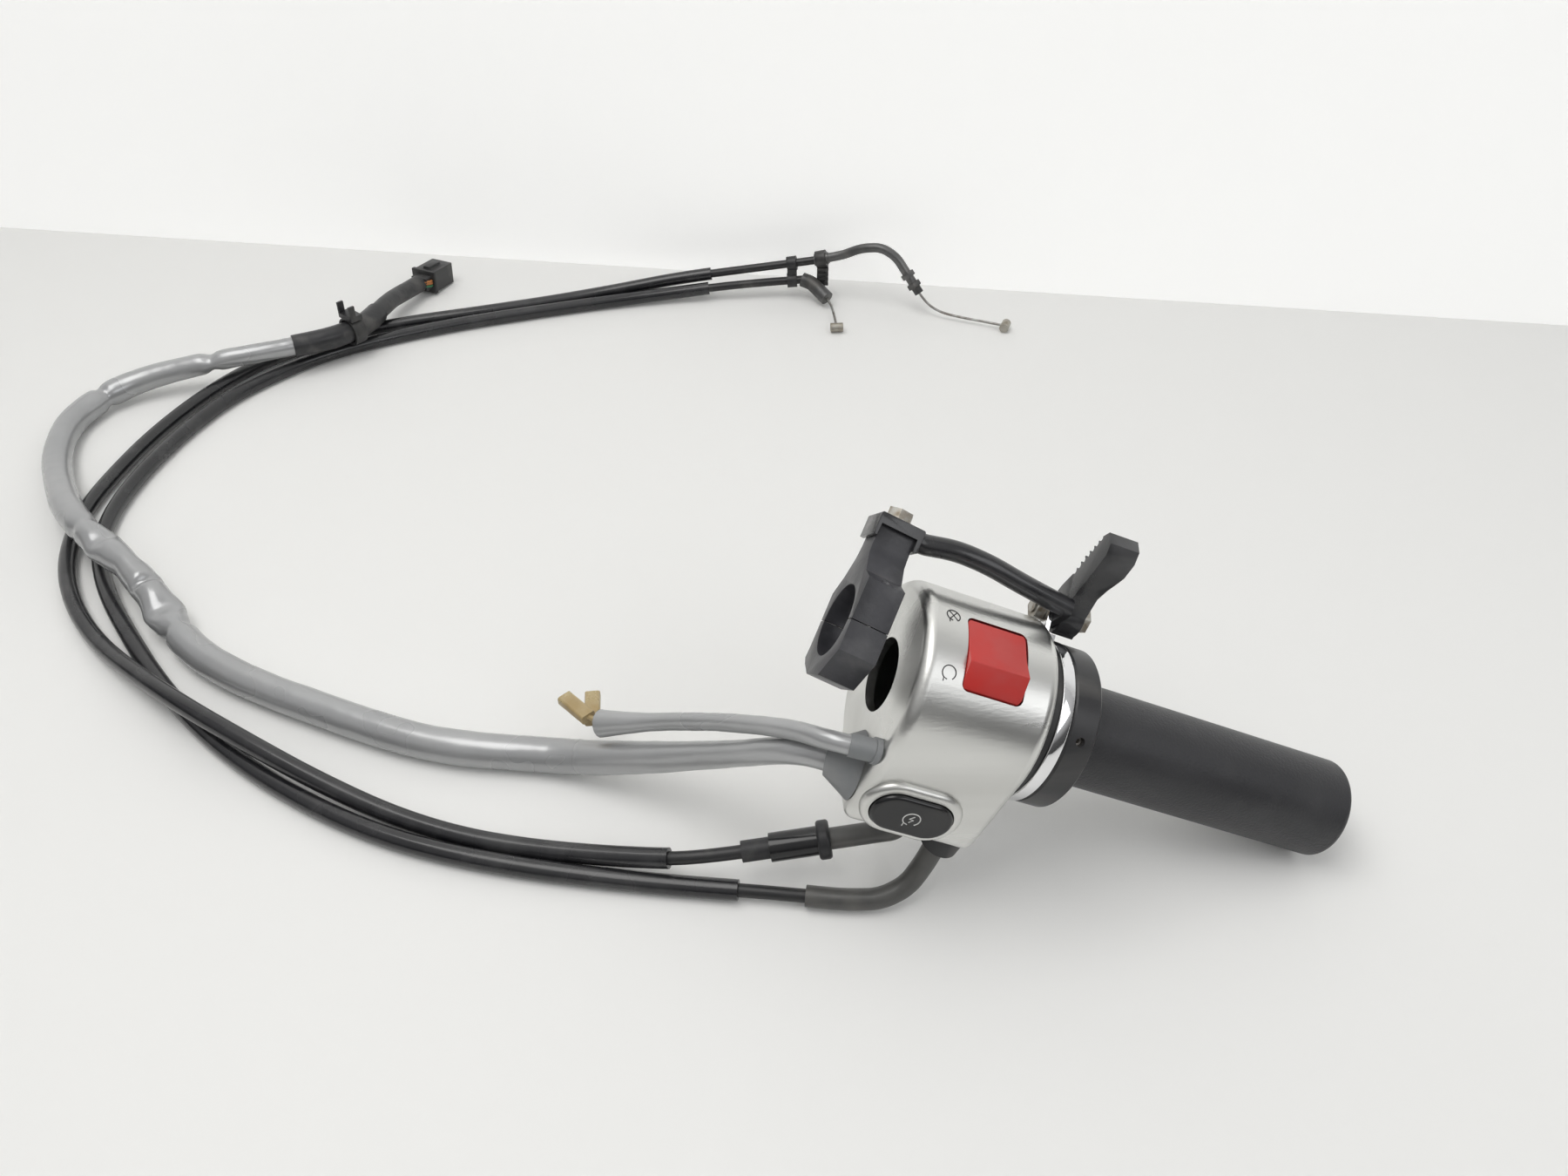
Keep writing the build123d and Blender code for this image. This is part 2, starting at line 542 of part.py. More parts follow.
# ---- Start switch
def start_switch():
    """Oval button in its base."""
    inner_face = -CAVITY_R
    front = -HOUSING_R - START_PAD_RISE - START_PROUD
    flange_front = inner_face + 0.2
    flange_back = flange_front + START_FLANGE_T
    back = inner_face + START_BASE_DEPTH
    button = start_slot(0, front, flange_back)
    crown = button.faces().sort_by(Axis.Y)[0]
    button = fillet(crown.edges(), START_PROUD - 0.2)
    button += start_slot(START_FLANGE, flange_front, flange_back)
    floor = back - START_BASE_FLOOR
    stem_end = floor - START_TRAVEL - 0.5
    button += rod((START_CENTRE_X, flange_back, START_CENTRE_Z), (START_CENTRE_X, stem_end, START_CENTRE_Z),
                  START_STEM_R)
    add_pod("start_button", button)

    margin = START_FLANGE + START_GAP
    low = START_CENTRE_Z - START_HEIGHT / 2 - margin - 1.2
    base = Pos(START_CENTRE_X, inner_face, low) * Box(START_LENGTH + 2 * margin + 2.4, START_BASE_DEPTH,
                                                      START_HEIGHT + 2 * margin + 2.4,
                                                      align=(Align.CENTER, Align.MIN, Align.MIN))
    base &= extrude(Plane.YZ.offset(END_WALL + PART_GAP) * housing_outline(HOUSING_WALL + PART_GAP),
                    HOUSING_LENGTH)
    base -= start_slot(margin, inner_face - 1, floor)
    add_pod("start_switch_base", main_solid(base))


# ---- Throttle tube, grip and collar
def throttle():
    """Tube with cable drum, rubber grip and the collar that the throttle lock grips."""
    tube_end = GRIP_END - GRIP_CAP
    tube = bar_ring(TUBE_START, tube_end, TUBE_R, TUBE_BORE_R)
    tube += bar_ring(DRUM_START, DRUM_START + DRUM_WIDTH, DRUM_R, TUBE_BORE_R)
    for share in (0.28, 0.72):
        centre = Pos(DRUM_START + share * DRUM_WIDTH, 0, 0) * Rot(0, 90, 0)
        tube -= centre * Torus(DRUM_R, GROOVE_R)
    add_pod("throttle_tube", tube)

    grip = bar_ring(GRIP_START, GRIP_END, GRIP_R)
    grip = fillet(grip.faces().sort_by(Axis.X)[-1].edges(), GRIP_ROUND)
    grip = fillet(grip.faces().sort_by(Axis.X)[0].edges(), 0.8)
    grip -= bar_ring(GRIP_START - 1, tube_end, TUBE_R)
    add_pod("grip_rubber", grip)

    collar = bar_ring(COLLAR_START, COLLAR_END, COLLAR_R)
    collar = chamfer(collar.edges(), 0.8)
    collar += bar_ring(HOUSING_LENGTH + BODY_GAP, COLLAR_START + 1, COLLAR_HUB_R)
    collar -= bar_ring(0, COLLAR_END + 1, TUBE_R)
    angle = math.radians(SET_SCREW_ANGLE)
    x = COLLAR_START + 4.6
    outward = Vector(0, -math.cos(angle), math.sin(angle))
    inner = Vector(x, 0, 0) + outward * TUBE_R
    outer = Vector(x, 0, 0) + outward * (COLLAR_R + 1)
    collar -= rod(tuple(inner), tuple(outer), SET_SCREW_R)
    add_pod("friction_collar", collar)
    screw = rod(tuple(inner), tuple(Vector(x, 0, 0) + outward * (COLLAR_R - 2.5)), SET_SCREW_R - PART_GAP)
    socket = hexagon_between(tuple(Vector(x, 0, 0) + outward * (COLLAR_R - 5)), tuple(outer), SET_SCREW_R)
    add_pod("collar_set_screw", screw - socket)


# ---- Throttle lock
def lock_band():
    """Liner against the housing, and the band with its ear round the liner."""
    liner = bar_ring(HOUSING_LENGTH, HOUSING_LENGTH + LINER_FLANGE, LINER_FLANGE_R, COLLAR_HUB_R + BODY_GAP)
    liner += bar_ring(HOUSING_LENGTH, LINER_END, LINER_R, COLLAR_HUB_R + BODY_GAP)
    add_pod("friction_liner", liner)

    band = bar_ring(BAND_START, BAND_END, BAND_R, LINER_R)
    band = fillet(band.edges().filter_by(GeomType.CIRCLE).sort_by(SortBy.LENGTH)[-2:], 0.4)
    angle = math.atan2(LOCK_AXIS_Z, LOCK_AXIS_Y)
    reach = math.hypot(LOCK_AXIS_Y, LOCK_AXIS_Z)
    upright = Rot(math.degrees(angle) - 90, 0, 0)
    foot_end = LEVER_X - BODY_GAP
    foot = Pos(EAR_X, 0, LINER_FLANGE_R + PART_GAP) * Box(foot_end - EAR_X, EAR_WIDTH, EAR_FOOT_H,
                                                         align=(Align.MIN, Align.CENTER, Align.MIN))
    ear = Pos(EAR_X, 0, LINER_FLANGE_R + PART_GAP) * Box(EAR_T, EAR_WIDTH, reach - LINER_FLANGE_R,
                                                        align=(Align.MIN, Align.CENTER, Align.MIN))
    ear += rod((EAR_X, 0, reach), (EAR_X + EAR_T, 0, reach), EAR_R)
    ear -= rod((EAR_X - 1, 0, reach), (EAR_X + EAR_T + 1, 0, reach), LOCK_BOLT_R + PART_GAP)
    band_core = bar_ring(0, GRIP_END, LINER_FLANGE_R + PART_GAP)
    add_pod("friction_band", band + upright * (foot + ear - band_core))


def lock_fasteners():
    """Bolt and nut on which the lever turns."""
    y = LOCK_AXIS_Y
    z = LOCK_AXIS_Z
    nut_end = EAR_X - PART_GAP
    nut_start = nut_end - LOCK_NUT_H
    lean = math.degrees(math.atan2(LOCK_AXIS_Y, LOCK_AXIS_Z))
    nut = hexagon_between((nut_start, y, z), (nut_end, y, z), LOCK_NUT_FLAT, lean)
    nut -= rod((nut_start - 1, y, z), (nut_end + 1, y, z), LOCK_BOLT_R + PART_GAP)
    add_pod("lock_nut", nut)
    head_start = LEVER_X + LEVER_NECK_W + BODY_GAP
    head = hexagon_between((head_start, y, z), (head_start + LOCK_HEAD_H, y, z), LOCK_HEAD_FLAT, lean)
    flange = rod((head_start, y, z), (head_start + 0.8, y, z), LOCK_HEAD_FLAT * 0.58)
    shank = rod((nut_start - 0.6, y, z), (head_start, y, z), LOCK_BOLT_R)
    add_pod("lock_bolt", head + flange + shank)


def lock_lever():
    """Thumb lever with a ribbed back edge."""
    outline = [(LOCK_AXIS_Y + y, LOCK_AXIS_Z + z) for y, z in LEVER_OUTLINE]
    lever = polygon_prism(outline, LEVER_X, LEVER_X + LEVER_PAD_W)
    lever += rod((LEVER_X, LOCK_AXIS_Y, LOCK_AXIS_Z), (LEVER_X + LEVER_NECK_W, LOCK_AXIS_Y, LOCK_AXIS_Z),
                 LEVER_HUB_R)
    waist = LEVER_X + LEVER_NECK_W
    cut = [(waist, 0), (waist, 40), (waist + 0.8, 45), (LEVER_X + LEVER_PAD_W, 52), (waist + 20, 52),
           (waist + 20, 0)]
    relief = extrude(make_face(Polyline(*[(x, 0, z) for x, z in cut], close=True)), 100, dir=(0, 1, 0))
    lever -= relief
    first = Vector(LEVER_X, LOCK_AXIS_Y + 5.4, LOCK_AXIS_Z + 15.0)
    last = Vector(LEVER_X, LOCK_AXIS_Y + 4.2, LOCK_AXIS_Z + 31.5)
    for index in range(TOOTH_COUNT):
        centre = first + (last - first) * (index / (TOOTH_COUNT - 1)) + Vector(0, TOOTH_PROUD, 0)
        start = Vector(LEVER_X - 1, centre.Y, centre.Z)
        lever -= rod(tuple(start), tuple(start + Vector(LEVER_PAD_W + 2, 0, 0)), TOOTH_R)
    lever -= rod((LEVER_X - 1, LOCK_AXIS_Y, LOCK_AXIS_Z), (waist + 1, LOCK_AXIS_Y, LOCK_AXIS_Z),
                 LOCK_BOLT_R + RUNNING_GAP)
    add_pod("lock_lever", main_solid(lever))


def arm_start():
    """Where the stay arm leaves the clamp's cap, in the bar frame."""
    local = (CLAMP_T + 1.8, 0, POST_TOP + 1.2)
    return CLAMP.from_local_coords(local)


def stay_arm():
    """Round rod from the clamp's cap to an eye on the lock bolt."""
    start = arm_start()
    eye_end = ARM_EYE_X + ARM_EYE_T
    rod_end = (eye_end, LOCK_AXIS_Y + ARM_END[0], LOCK_AXIS_Z + ARM_END[1])
    leave = start + Vector(*CLAMP_AXIS) * 3.0
    middle = [(x, LOCK_AXIS_Y + y, LOCK_AXIS_Z + z) for x, y, z in ARM_ROUTE]
    points = [tuple(start), tuple(leave), *middle, rod_end]
    path = FilletPolyline(*points, radius=corner_radii(points))
    arm = sweep(Plane(origin=path @ 0, z_dir=path % 0) * Circle(ARM_ROD_R), path=path)
    eye = rod((ARM_EYE_X, LOCK_AXIS_Y, LOCK_AXIS_Z), (eye_end, LOCK_AXIS_Y, LOCK_AXIS_Z), ARM_EYE_R)
    lug = rod((ARM_EYE_X, rod_end[1], rod_end[2]), (eye_end, rod_end[1], rod_end[2]), ARM_ROD_R)
    bridge_points = [(rod_end[1] - 3.0, rod_end[2] - 2.0), (rod_end[1] + 3.2, rod_end[2] + 2.0),
                     (LOCK_AXIS_Y + 5.0, LOCK_AXIS_Z + 3.0), (LOCK_AXIS_Y - 5.0, LOCK_AXIS_Z - 3.0)]
    bridge = polygon_prism(bridge_points, ARM_EYE_X, eye_end)
    beyond = Pos(eye_end, 0, 0) * Box(20, 200, 200, align=(Align.MIN, Align.CENTER, Align.CENTER))
    arm = arm + eye + lug + bridge - beyond
    arm -= rod((ARM_EYE_X - 1, LOCK_AXIS_Y, LOCK_AXIS_Z), (eye_end + 1, LOCK_AXIS_Y, LOCK_AXIS_Z),
               LOCK_BOLT_R + PART_GAP)
    add_pod("stay_arm", main_solid(arm))


# ---- Stay clamp
def clamp_prism(points, start=0.0, end=CLAMP_T):
    """Extrude an outline given across and along the post through the clamp's thickness."""
    outline = make_face(Polyline(*[(0, y, z) for y, z in points], close=True))
    return extrude(Pos(start, 0, 0) * outline, end - start, dir=(1, 0, 0))


def stay_clamp():
    """Split clamp for the bar, with a post, a cap plate and a bolt."""
    half = CLAMP_SEAM / 2
    wide = CLAMP_HALF_W
    upper = clamp_prism([(-wide, half), (-wide, 14.4), (-10.2, 17.0), (-POST_HALF_W - 0.6, 23.5),
                         (-POST_HALF_W, 27.0), (-POST_HALF_W, POST_TOP), (POST_HALF_W, POST_TOP),
                         (POST_HALF_W, 27.0), (POST_HALF_W + 1.2, 22.5), (11.0, 15.5), (wide, 10.0), (wide, half)])
    lower = clamp_prism([(-wide, -half), (-wide, -10.4), (-5.5, -19.2), (7.5, -19.2), (14.5, -15.6),
                         (wide + 0.6, -13.4), (wide, -9.5), (wide, -half)])
    bore = rod((-1, 0, 0), (CLAMP_T + 1, 0, 0), BAR_R)
    middle = CLAMP_T / 2
    head_seat = 7.0
    screws = []
    for side in (-1, 1):
        y = side * CLAMP_SCREW_Y
        upper -= rod((middle, y, -1), (middle, y, 20), CLAMP_SCREW_R + PART_GAP)
        upper -= rod((middle, y, head_seat), (middle, y, 20), CLAMP_SCREW_HEAD_R + PART_GAP)
        lower -= rod((middle, y, 1), (middle, y, -8), CLAMP_SCREW_R + PART_GAP)
        screw = rod((middle, y, head_seat), (middle, y, -7.5), CLAMP_SCREW_R)
        head = rod((middle, y, head_seat), (middle, y, head_seat + CLAMP_SCREW_HEAD_H), CLAMP_SCREW_HEAD_R)
        screws.append(screw + head)
    bolt_floor = POST_TOP - CAP_BOLT_DEPTH
    upper -= rod((middle, 0, bolt_floor - 0.5), (middle, 0, POST_TOP + 1), CAP_BOLT_R + PART_GAP)
    place = POD * CLAMP.location
    add("clamp_upper", main_solid(upper - bore), place)
    add("clamp_lower", main_solid(lower - bore), place)
    for number, screw in enumerate(screws, 1):
        add(f"clamp_screw_{number}", screw, place)

    cap_low = POST_TOP
    cap = Pos(-CAP_OVERHANG, 0, cap_low) * Box(CLAMP_T + CAP_OVERHANG + 1.8, 2 * CAP_HALF_W, CAP_T,
                                               align=(Align.MIN, Align.CENTER, Align.MIN))
    for x in (-CAP_OVERHANG, CLAMP_T + 1.8 - CAP_LIP_T + 0.6):
        width = CAP_LIP_T - 1.0 if x < 0 else CAP_LIP_T - 0.8
        cap += Pos(x, 0, cap_low - CAP_LIP_DROP) * Box(width, 2 * CAP_HALF_W, CAP_LIP_DROP + 1,
                                                       align=(Align.MIN, Align.CENTER, Align.MIN))
    cap = fillet(cap.edges().group_by(Axis.Z)[-1].filter_by(Axis.Y), 0.8)
    cap -= rod((middle, 0, cap_low - 1), (middle, 0, cap_low + CAP_T + 1), CAP_BOLT_R + PART_GAP)
    add("clamp_cap", cap, place)
    cap_top = cap_low + CAP_T
    bolt = rod((middle, 0, bolt_floor), (middle, 0, cap_top), CAP_BOLT_R)
    bolt += hexagon_between((middle, 0, cap_top), (middle, 0, cap_top + CAP_BOLT_HEAD_H), CAP_BOLT_FLAT, 10)
    bolt += rod((middle, 0, cap_top), (middle, 0, cap_top + 0.9), CAP_BOLT_FLAT * 0.62)
    add("clamp_cap_bolt", bolt, place)


# ---- Cable pipes and adjuster
def pipe_point(x, y, z):
    """A point of the bar frame in the table frame."""
    return tuple((POD * Pos(x, y, z)).position)


def lobe_floor(y):
    """Height of the lobe's underside at a distance from the rider's side."""
    slope = (LOBE_LOW_Z - LOBE_FRONT_Z) / (LOBE_LOW_Y + HOUSING_R)
    return LOBE_FRONT_Z + slope * (y + HOUSING_R)


def cable_pipes():
    """Bent pipes that lead the two cables out of the housing, with their collars."""
    pipes = (("lower", LOWER_PIPE_X, LOWER_PIPE_Y, PIPE_COLLAR_R, PIPE_COLLAR_DROP, LOWER_PIPE_ROUTE),
             ("upper", UPPER_PIPE_X, UPPER_PIPE_Y, UPPER_COLLAR_R, UPPER_COLLAR_DROP, UPPER_PIPE_ROUTE))
    for name, x, y, collar_r, drop, route in pipes:
        floor = lobe_floor(y)
        bottom = floor - drop
        spigot = rod((x, y, floor + HOUSING_WALL + 0.3), (x, y, floor), PIPE_SPIGOT_R)
        collar = rod((x, y, floor + 0.4), (x, y, bottom), collar_r)
        collar = collar - POD.inverse() * PARTS["front_housing"] - POD.inverse() * PARTS["rear_housing"]
        collar = main_solid(collar + spigot - rod((x, y, floor + 6), (x, y, bottom - 1), CABLE_D / 2 + CABLE_FIT))
        add_pod(f"{name}_pipe_collar", collar)
        start = pipe_point(x, y, bottom)
        leave = pipe_point(x, y, bottom - 3.0)
        points = [start, leave] + route
        add(f"{name}_pipe", cord_tube(points, PIPE_D, f"{name}_pipe", CABLE_D + CABLE_FIT))


def adjuster():
    """Cable adjuster in the upper cable, with a flange at its housing end."""
    start = ADJUSTER_START
    end = ADJUSTER_END
    flange_end = at_length(start, end, ADJUSTER_FLANGE_T)
    body_end = at_length(start, end, ADJUSTER_FLANGE_T + ADJUSTER_BODY_L)
    bore = CABLE_D / 2 + CABLE_FIT
    flange = rod_ring(start, flange_end, ADJUSTER_FLANGE_R, bore)
    flange -= PARTS["upper_pipe"]
    flange = fillet(flange.edges().filter_by(GeomType.CIRCLE).sort_by(SortBy.LENGTH)[-2:], 1.2)
    add("adjuster_flange", flange)
    body = rod_ring(flange_end, body_end, ADJUSTER_BODY_R, bore)
    add("adjuster_body", body)
    add("adjuster_tip", rod_ring(body_end, end, ADJUSTER_TIP_R, bore))


# ---- Cables and harness
def continued(before, after):
    """A route whose first run carries straight on from the last run of another."""
    last = Vector(*before[-1])
    run = (Vector(*after[1]) - Vector(*after[0])).length
    ahead = last + (last - Vector(*before[-2])).normalized() * run
    return [before[-1], tuple(ahead)] + after[2:]


def inner_route(points):
    """A route that starts on the second run of another and stops on its last run but one."""
    first = Vector(*points[1]) + (Vector(*points[2]) - Vector(*points[1])) * SLEEVE_END_SHARE
    last = Vector(*points[-2]) + (Vector(*points[-3]) - Vector(*points[-2])) * SLEEVE_END_SHARE
    return [tuple(first)] + points[2:-2] + [tuple(last)]


def cables():
    """Two throttle cables, each with a loose sleeve over most of its length."""
    for name, route in (("upper", UPPER_CABLE_ROUTE), ("lower", LOWER_CABLE_ROUTE)):
        radii = corner_radii(route)
        add(f"{name}_cable", cord_tube(route, CABLE_D, f"{name}_cable", radii=radii))
        add(f"{name}_cable_sleeve", cord_tube(inner_route(route), SLEEVE_D, f"{name}_cable_sleeve",
                                              CABLE_D + CABLE_FIT, radii[1:-1]))


def grommets():
    """Rubber grommets in the inboard wall, one for the harness and one for the lead."""
    turn = Rot(0, 0, -SPLIT_ANGLE)
    base = POD * (Plane.YZ.offset(-PART_GAP) * Pos(BOOT_Y, BOOT_Z) * turn * Ellipse(BOOT_LONG, BOOT_SHORT))
    leave = (Vector(*NECK_ROUTE[0]) - Vector(*NECK_ROUTE[1])).normalized()
    seam = math.radians(-SPLIT_ANGLE)
    along = Vector(*pipe_point(0, math.cos(seam), math.sin(seam))) - Vector(*BORE_CENTRE)
    tip = Plane(origin=NECK_ROUTE[0], x_dir=along - leave * along.dot(leave), z_dir=leave) * Circle(BOOT_TIP_R)
    boot = loft([base, tip])
    boot += POD * extrude(Pos(-PART_GAP, 0, 0) * harness_plug(PART_GAP), END_WALL)
    add("harness_grommet", boot)
    foot = LEAD_BOOT_START[1:]
    lead = rod((0, *foot), LEAD_BOOT_END, LEAD_BOOT_R)
    lead -= Box(20, 200, 200, align=(Align.MIN, Align.CENTER, Align.CENTER))
    lead += rod((-PART_GAP, *foot), (END_WALL, *foot), LEAD_PLUG_R)
    lead += rod((-PART_GAP, *foot), (-2.0, *foot), LEAD_BOOT_R + LEAD_BOOT_FLANGE)
    add_pod("lead_grommet", lead)


def harness():
    """Main harness in three widths, taped end, branch and brake switch lead."""
    before = None
    for name, route, diameter in (("neck", NECK_ROUTE, HARNESS_NECK_D), ("main", HARNESS_ROUTE, HARNESS_D),
                                  ("tail", TAIL_ROUTE, HARNESS_TAIL_D), ("tape", TAPE_ROUTE, SLEEVE_TAPE_D),
                                  ("branch", BRANCH_ROUTE, HARNESS_TAIL_D)):
        points = continued(before, route) if before else route
        add(f"harness_{name}", cord_tube(points, diameter, f"harness_{name}"))
        before = points
    add("brake_lead", cord_tube(LEAD_ROUTE, LEAD_D, "brake_lead"))


def route_frame(start, end):
    """A frame at start with X along the way to end and Z close to upright."""
    a = Vector(*start)
    along = (Vector(*end) - a).normalized()
    side = Vector(0, 0, 1).cross(along).normalized()
    return Plane(origin=a, x_dir=along, z_dir=along.cross(side))


def harness_fittings():
    """Clip with two prongs on the taped end, and the connector on the branch."""
    clip_frame = route_frame(TAPE_ROUTE[2], TAPE_ROUTE[3])
    radius = SLEEVE_TAPE_D / 2
    band = Plane.YZ * (Circle(radius + TAPE_CLIP_WALL) - Circle(radius + TAPE_CLIP_GAP))
    saddle = Pos(TAPE_CLIP_X, 0, 0) * extrude(band, TAPE_CLIP_W)
    plate = Pos(TAPE_CLIP_X, 0, radius + 1.2) * Box(TAPE_CLIP_W, 12.0, 3.0, align=(Align.MIN, Align.CENTER, Align.MIN))
    clip = saddle + plate
    for y in (-5.2, 5.2):
        prong = Box(TAPE_CLIP_W / 2, 1.4, 6.5, align=(Align.MIN, Align.CENTER, Align.MIN))
        clip += Pos(TAPE_CLIP_X, y, radius + 4.0) * prong
    add("harness_clip", clip_frame.location * clip)

    frame = route_frame(BRANCH_ROUTE[-2], BRANCH_ROUTE[-1])
    run = (Vector(*BRANCH_ROUTE[-1]) - Vector(*BRANCH_ROUTE[-2])).length
    front = run + CONNECTOR_STEP
    shell = Pos(front, 0, 0) * Box(CONNECTOR_L, CONNECTOR_W, CONNECTOR_H, align=(Align.MIN, Align.CENTER, Align.CENTER))
    mouth = Pos(front + CONNECTOR_L - 3.6, 0, 0) * Box(9.0, CONNECTOR_W - 3.0, CONNECTOR_H - 3.0,
                                                       align=(Align.MIN, Align.CENTER, Align.CENTER))
    collar = Pos(run, 0, 0) * Box(CONNECTOR_STEP + 1, 11.0, 8.0, align=(Align.MIN, Align.CENTER, Align.CENTER))
    latch = Pos(front + 4.0, 0, CONNECTOR_H / 2) * Box(11.0, 5.0, 1.6, align=(Align.MIN, Align.CENTER, Align.MIN))
    rim = Pos(front, 0, 0) * Box(2.4, CONNECTOR_W + 2.0, CONNECTOR_H + 1.0, align=(Align.MIN, Align.CENTER, Align.CENTER))
    add("harness_connector", frame.location * (shell - mouth + collar + latch + rim))


def brake_terminals():
    """Two insulated spade terminals on short wires at the end of the brake switch lead."""
    end = Vector(*LEAD_ROUTE[-1])
    ahead = (end - Vector(*LEAD_ROUTE[-2])).normalized()
    upright = (Vector(0, 0, 1) - ahead * ahead.Z).normalized()
    for number, (turn, base, rise) in enumerate(TERMINAL_PLACES, 1):
        body = Box(TERMINAL_L, TERMINAL_W, TERMINAL_T, align=(Align.MIN, Align.CENTER, Align.CENTER))
        body = fillet(body.edges().filter_by(Axis.X), 1.0)
        body -= Pos(TERMINAL_L, 0, 0) * Box(12.0, TERMINAL_W - 2.4, TERMINAL_T - 2.4)
        body = Location(base, (0, 0, turn)) * body
        start = end + ahead * 0.6 + upright * rise
        inside = Vector(*base) + Vector(math.cos(math.radians(turn)), math.sin(math.radians(turn)), 0)
        add(f"brake_terminal_{number}", body + rod(tuple(start), tuple(inside), TERMINAL_WIRE_R))


# ---- Far cable ends
def cable_ends():
    """Bent end pipe with its thread and nuts, the straight end fitting, and the wires with nipples."""
    ferrule_start = UPPER_CABLE_ROUTE[-1]
    ferrule = rod(ferrule_start, END_PIPE_ROUTE[0], FERRULE_D / 2)
    ferrule_seat = Vector(*ferrule_start) - Vector(*UPPER_CABLE_ROUTE[-2])
    add("pull_ferrule", ferrule - rod(tuple(Vector(*ferrule_start) - ferrule_seat.normalized() * 3),
                                      ferrule_start, FERRULE_D))
    pipe_points = continued([ferrule_start, END_PIPE_ROUTE[0]], END_PIPE_ROUTE)
    add("pull_end_pipe", cord_tube(pipe_points, END_PIPE_D, "pull_end_pipe"))
    thread_start = END_PIPE_ROUTE[-1]
    thread_end = at_length(END_PIPE_ROUTE[-2], thread_start, END_THREAD_AT)
    thread = rod_ring(thread_start, thread_end, THREAD_D / 2, WIRE_D / 2 + BODY_GAP)
    add("pull_thread", thread)
    for number, distance in enumerate((0.6, 7.6), 1):
        low = at_length(thread_start, thread_end, distance)
        high = at_length(thread_start, thread_end, distance + END_NUT_H)
        nut = hexagon_between(low, high, END_NUT_FLAT, 12.0 * number) - rod(low, high, THREAD_D / 2 + PART_GAP)
        add(f"pull_nut_{number}", nut)
    fitting = cord_tube(RETURN_FITTING_ROUTE, RETURN_FITTING_D, "return_fitting")
    seat = at_length(RETURN_WIRE_ROUTE[1], RETURN_WIRE_ROUTE[0], 8.0)
    fitting -= rod(seat, RETURN_WIRE_ROUTE[1], WIRE_D / 2 + BODY_GAP)
    add("return_fitting", main_solid(fitting - PARTS["lower_cable"]))
    add("pull_wire", cord_tube(PULL_WIRE_ROUTE, WIRE_D, "pull_wire"))
    add("return_wire", cord_tube(RETURN_WIRE_ROUTE, WIRE_D, "return_wire"))
    for name, route in (("pull", PULL_WIRE_ROUTE), ("return", RETURN_WIRE_ROUTE)):
        frame = route_frame(route[-2], route[-1])
        run = (Vector(*route[-1]) - Vector(*route[-2])).length
        nipple = Pos(run + NIPPLE_R, 0, 0) * Rot(90, 0, 0) * Cylinder(NIPPLE_R, NIPPLE_L)
        nipple -= rod((run - 1, 0, 0), (run, 0, 0), WIRE_D / 2)
        add(f"{name}_nipple", frame.location * nipple)


def along_last_run(route, x):
    """The point of a route's last run at an X position, and the run's direction."""
    start = Vector(*route[-2])
    end = Vector(*route[-1])
    return start + (end - start) * ((x - start.X) / (end.X - start.X)), (end - start).normalized()


def cable_clip():
    """Plastic clip that ties the two cables together near their ends."""
    cuts = []
    centres = []
    clip = None
    for route in (UPPER_CABLE_ROUTE, LOWER_CABLE_ROUTE):
        centre, ahead = along_last_run(route, CLIP_X)
        ahead = ahead * CLIP_T
        loop = rod(tuple(centre), tuple(centre + ahead), CABLE_D / 2 + 1.8)
        cuts.append(rod(tuple(centre - ahead), tuple(centre + ahead * 2), CABLE_D / 2 + PART_GAP))
        clip = loop if clip is None else clip + loop
        centres.append(centre)
    middle = (centres[0] + centres[1]) / 2 + Vector(CLIP_T / 2, 0, 0)
    clip += Pos(*middle) * Box(CLIP_T, 4.4, (centres[0] - centres[1]).length - 1.0)
    for cut in cuts:
        clip -= cut
    add("cable_clip_1", main_solid(clip))


def end_bracket():
    """Ribbed plastic bracket that holds the upper cable's ferrule above the lower cable's fitting."""
    low_y, high_y = BRACKET_Y
    low_z, high_z = BRACKET_Z
    corner = (Align.MIN, Align.MIN, Align.MIN)
    body = Pos(BRACKET_X, low_y, low_z) * Box(BRACKET_W - 2.0, high_y - low_y, high_z - low_z, align=corner)
    pitch = (high_z - low_z - 4.0) / BRACKET_RIBS
    for index in range(BRACKET_RIBS):
        body += Pos(BRACKET_X, low_y - 0.8, low_z + 1.2 + index * pitch) * Box(BRACKET_W, high_y - low_y + 1.6,
                                                                             pitch * 0.5, align=corner)
    axis_start = Vector(*UPPER_CABLE_ROUTE[-1])
    along = (Vector(*END_PIPE_ROUTE[0]) - axis_start).normalized()
    ring_start = axis_start + along * 1.2
    body += rod(tuple(ring_start), tuple(ring_start + along * (BRACKET_W - 0.6)), BRACKET_RING_R)
    body -= rod(tuple(axis_start - along * 5), tuple(axis_start + along * 20), FERRULE_D / 2 + PART_GAP)
    for start, end in zip(RETURN_FITTING_ROUTE, RETURN_FITTING_ROUTE[1:]):
        body -= rod(at_length(start, end, -3.0), at_length(end, start, -3.0), RETURN_FITTING_D / 2 + BRACKET_SEAT_GAP)
    add("end_bracket", main_solid(body))


def main():
    """Build every sub-part and write one STEP file for each."""
    housing()
    kill_switch()
    start_switch()
    throttle()
    lock_band()
    lock_fasteners()
    lock_lever()
    stay_arm()
    stay_clamp()
    cable_pipes()
    adjuster()
    cables()
    grommets()
    harness()
    harness_fittings()
    brake_terminals()
    cable_ends()
    cable_clip()
    end_bracket()
    os.makedirs("parts", exist_ok=True)
    for name, shape in PARTS.items():
        export_step(placed(shape), f"parts/{name}.step")


main()
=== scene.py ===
"""Right-hand throttle grip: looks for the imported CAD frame. Metres, +Z up."""
from __future__ import annotations

import json
import logging
import math
from dataclasses import dataclass, field
from enum import Enum

import bpy
from mathutils import Matrix, Vector

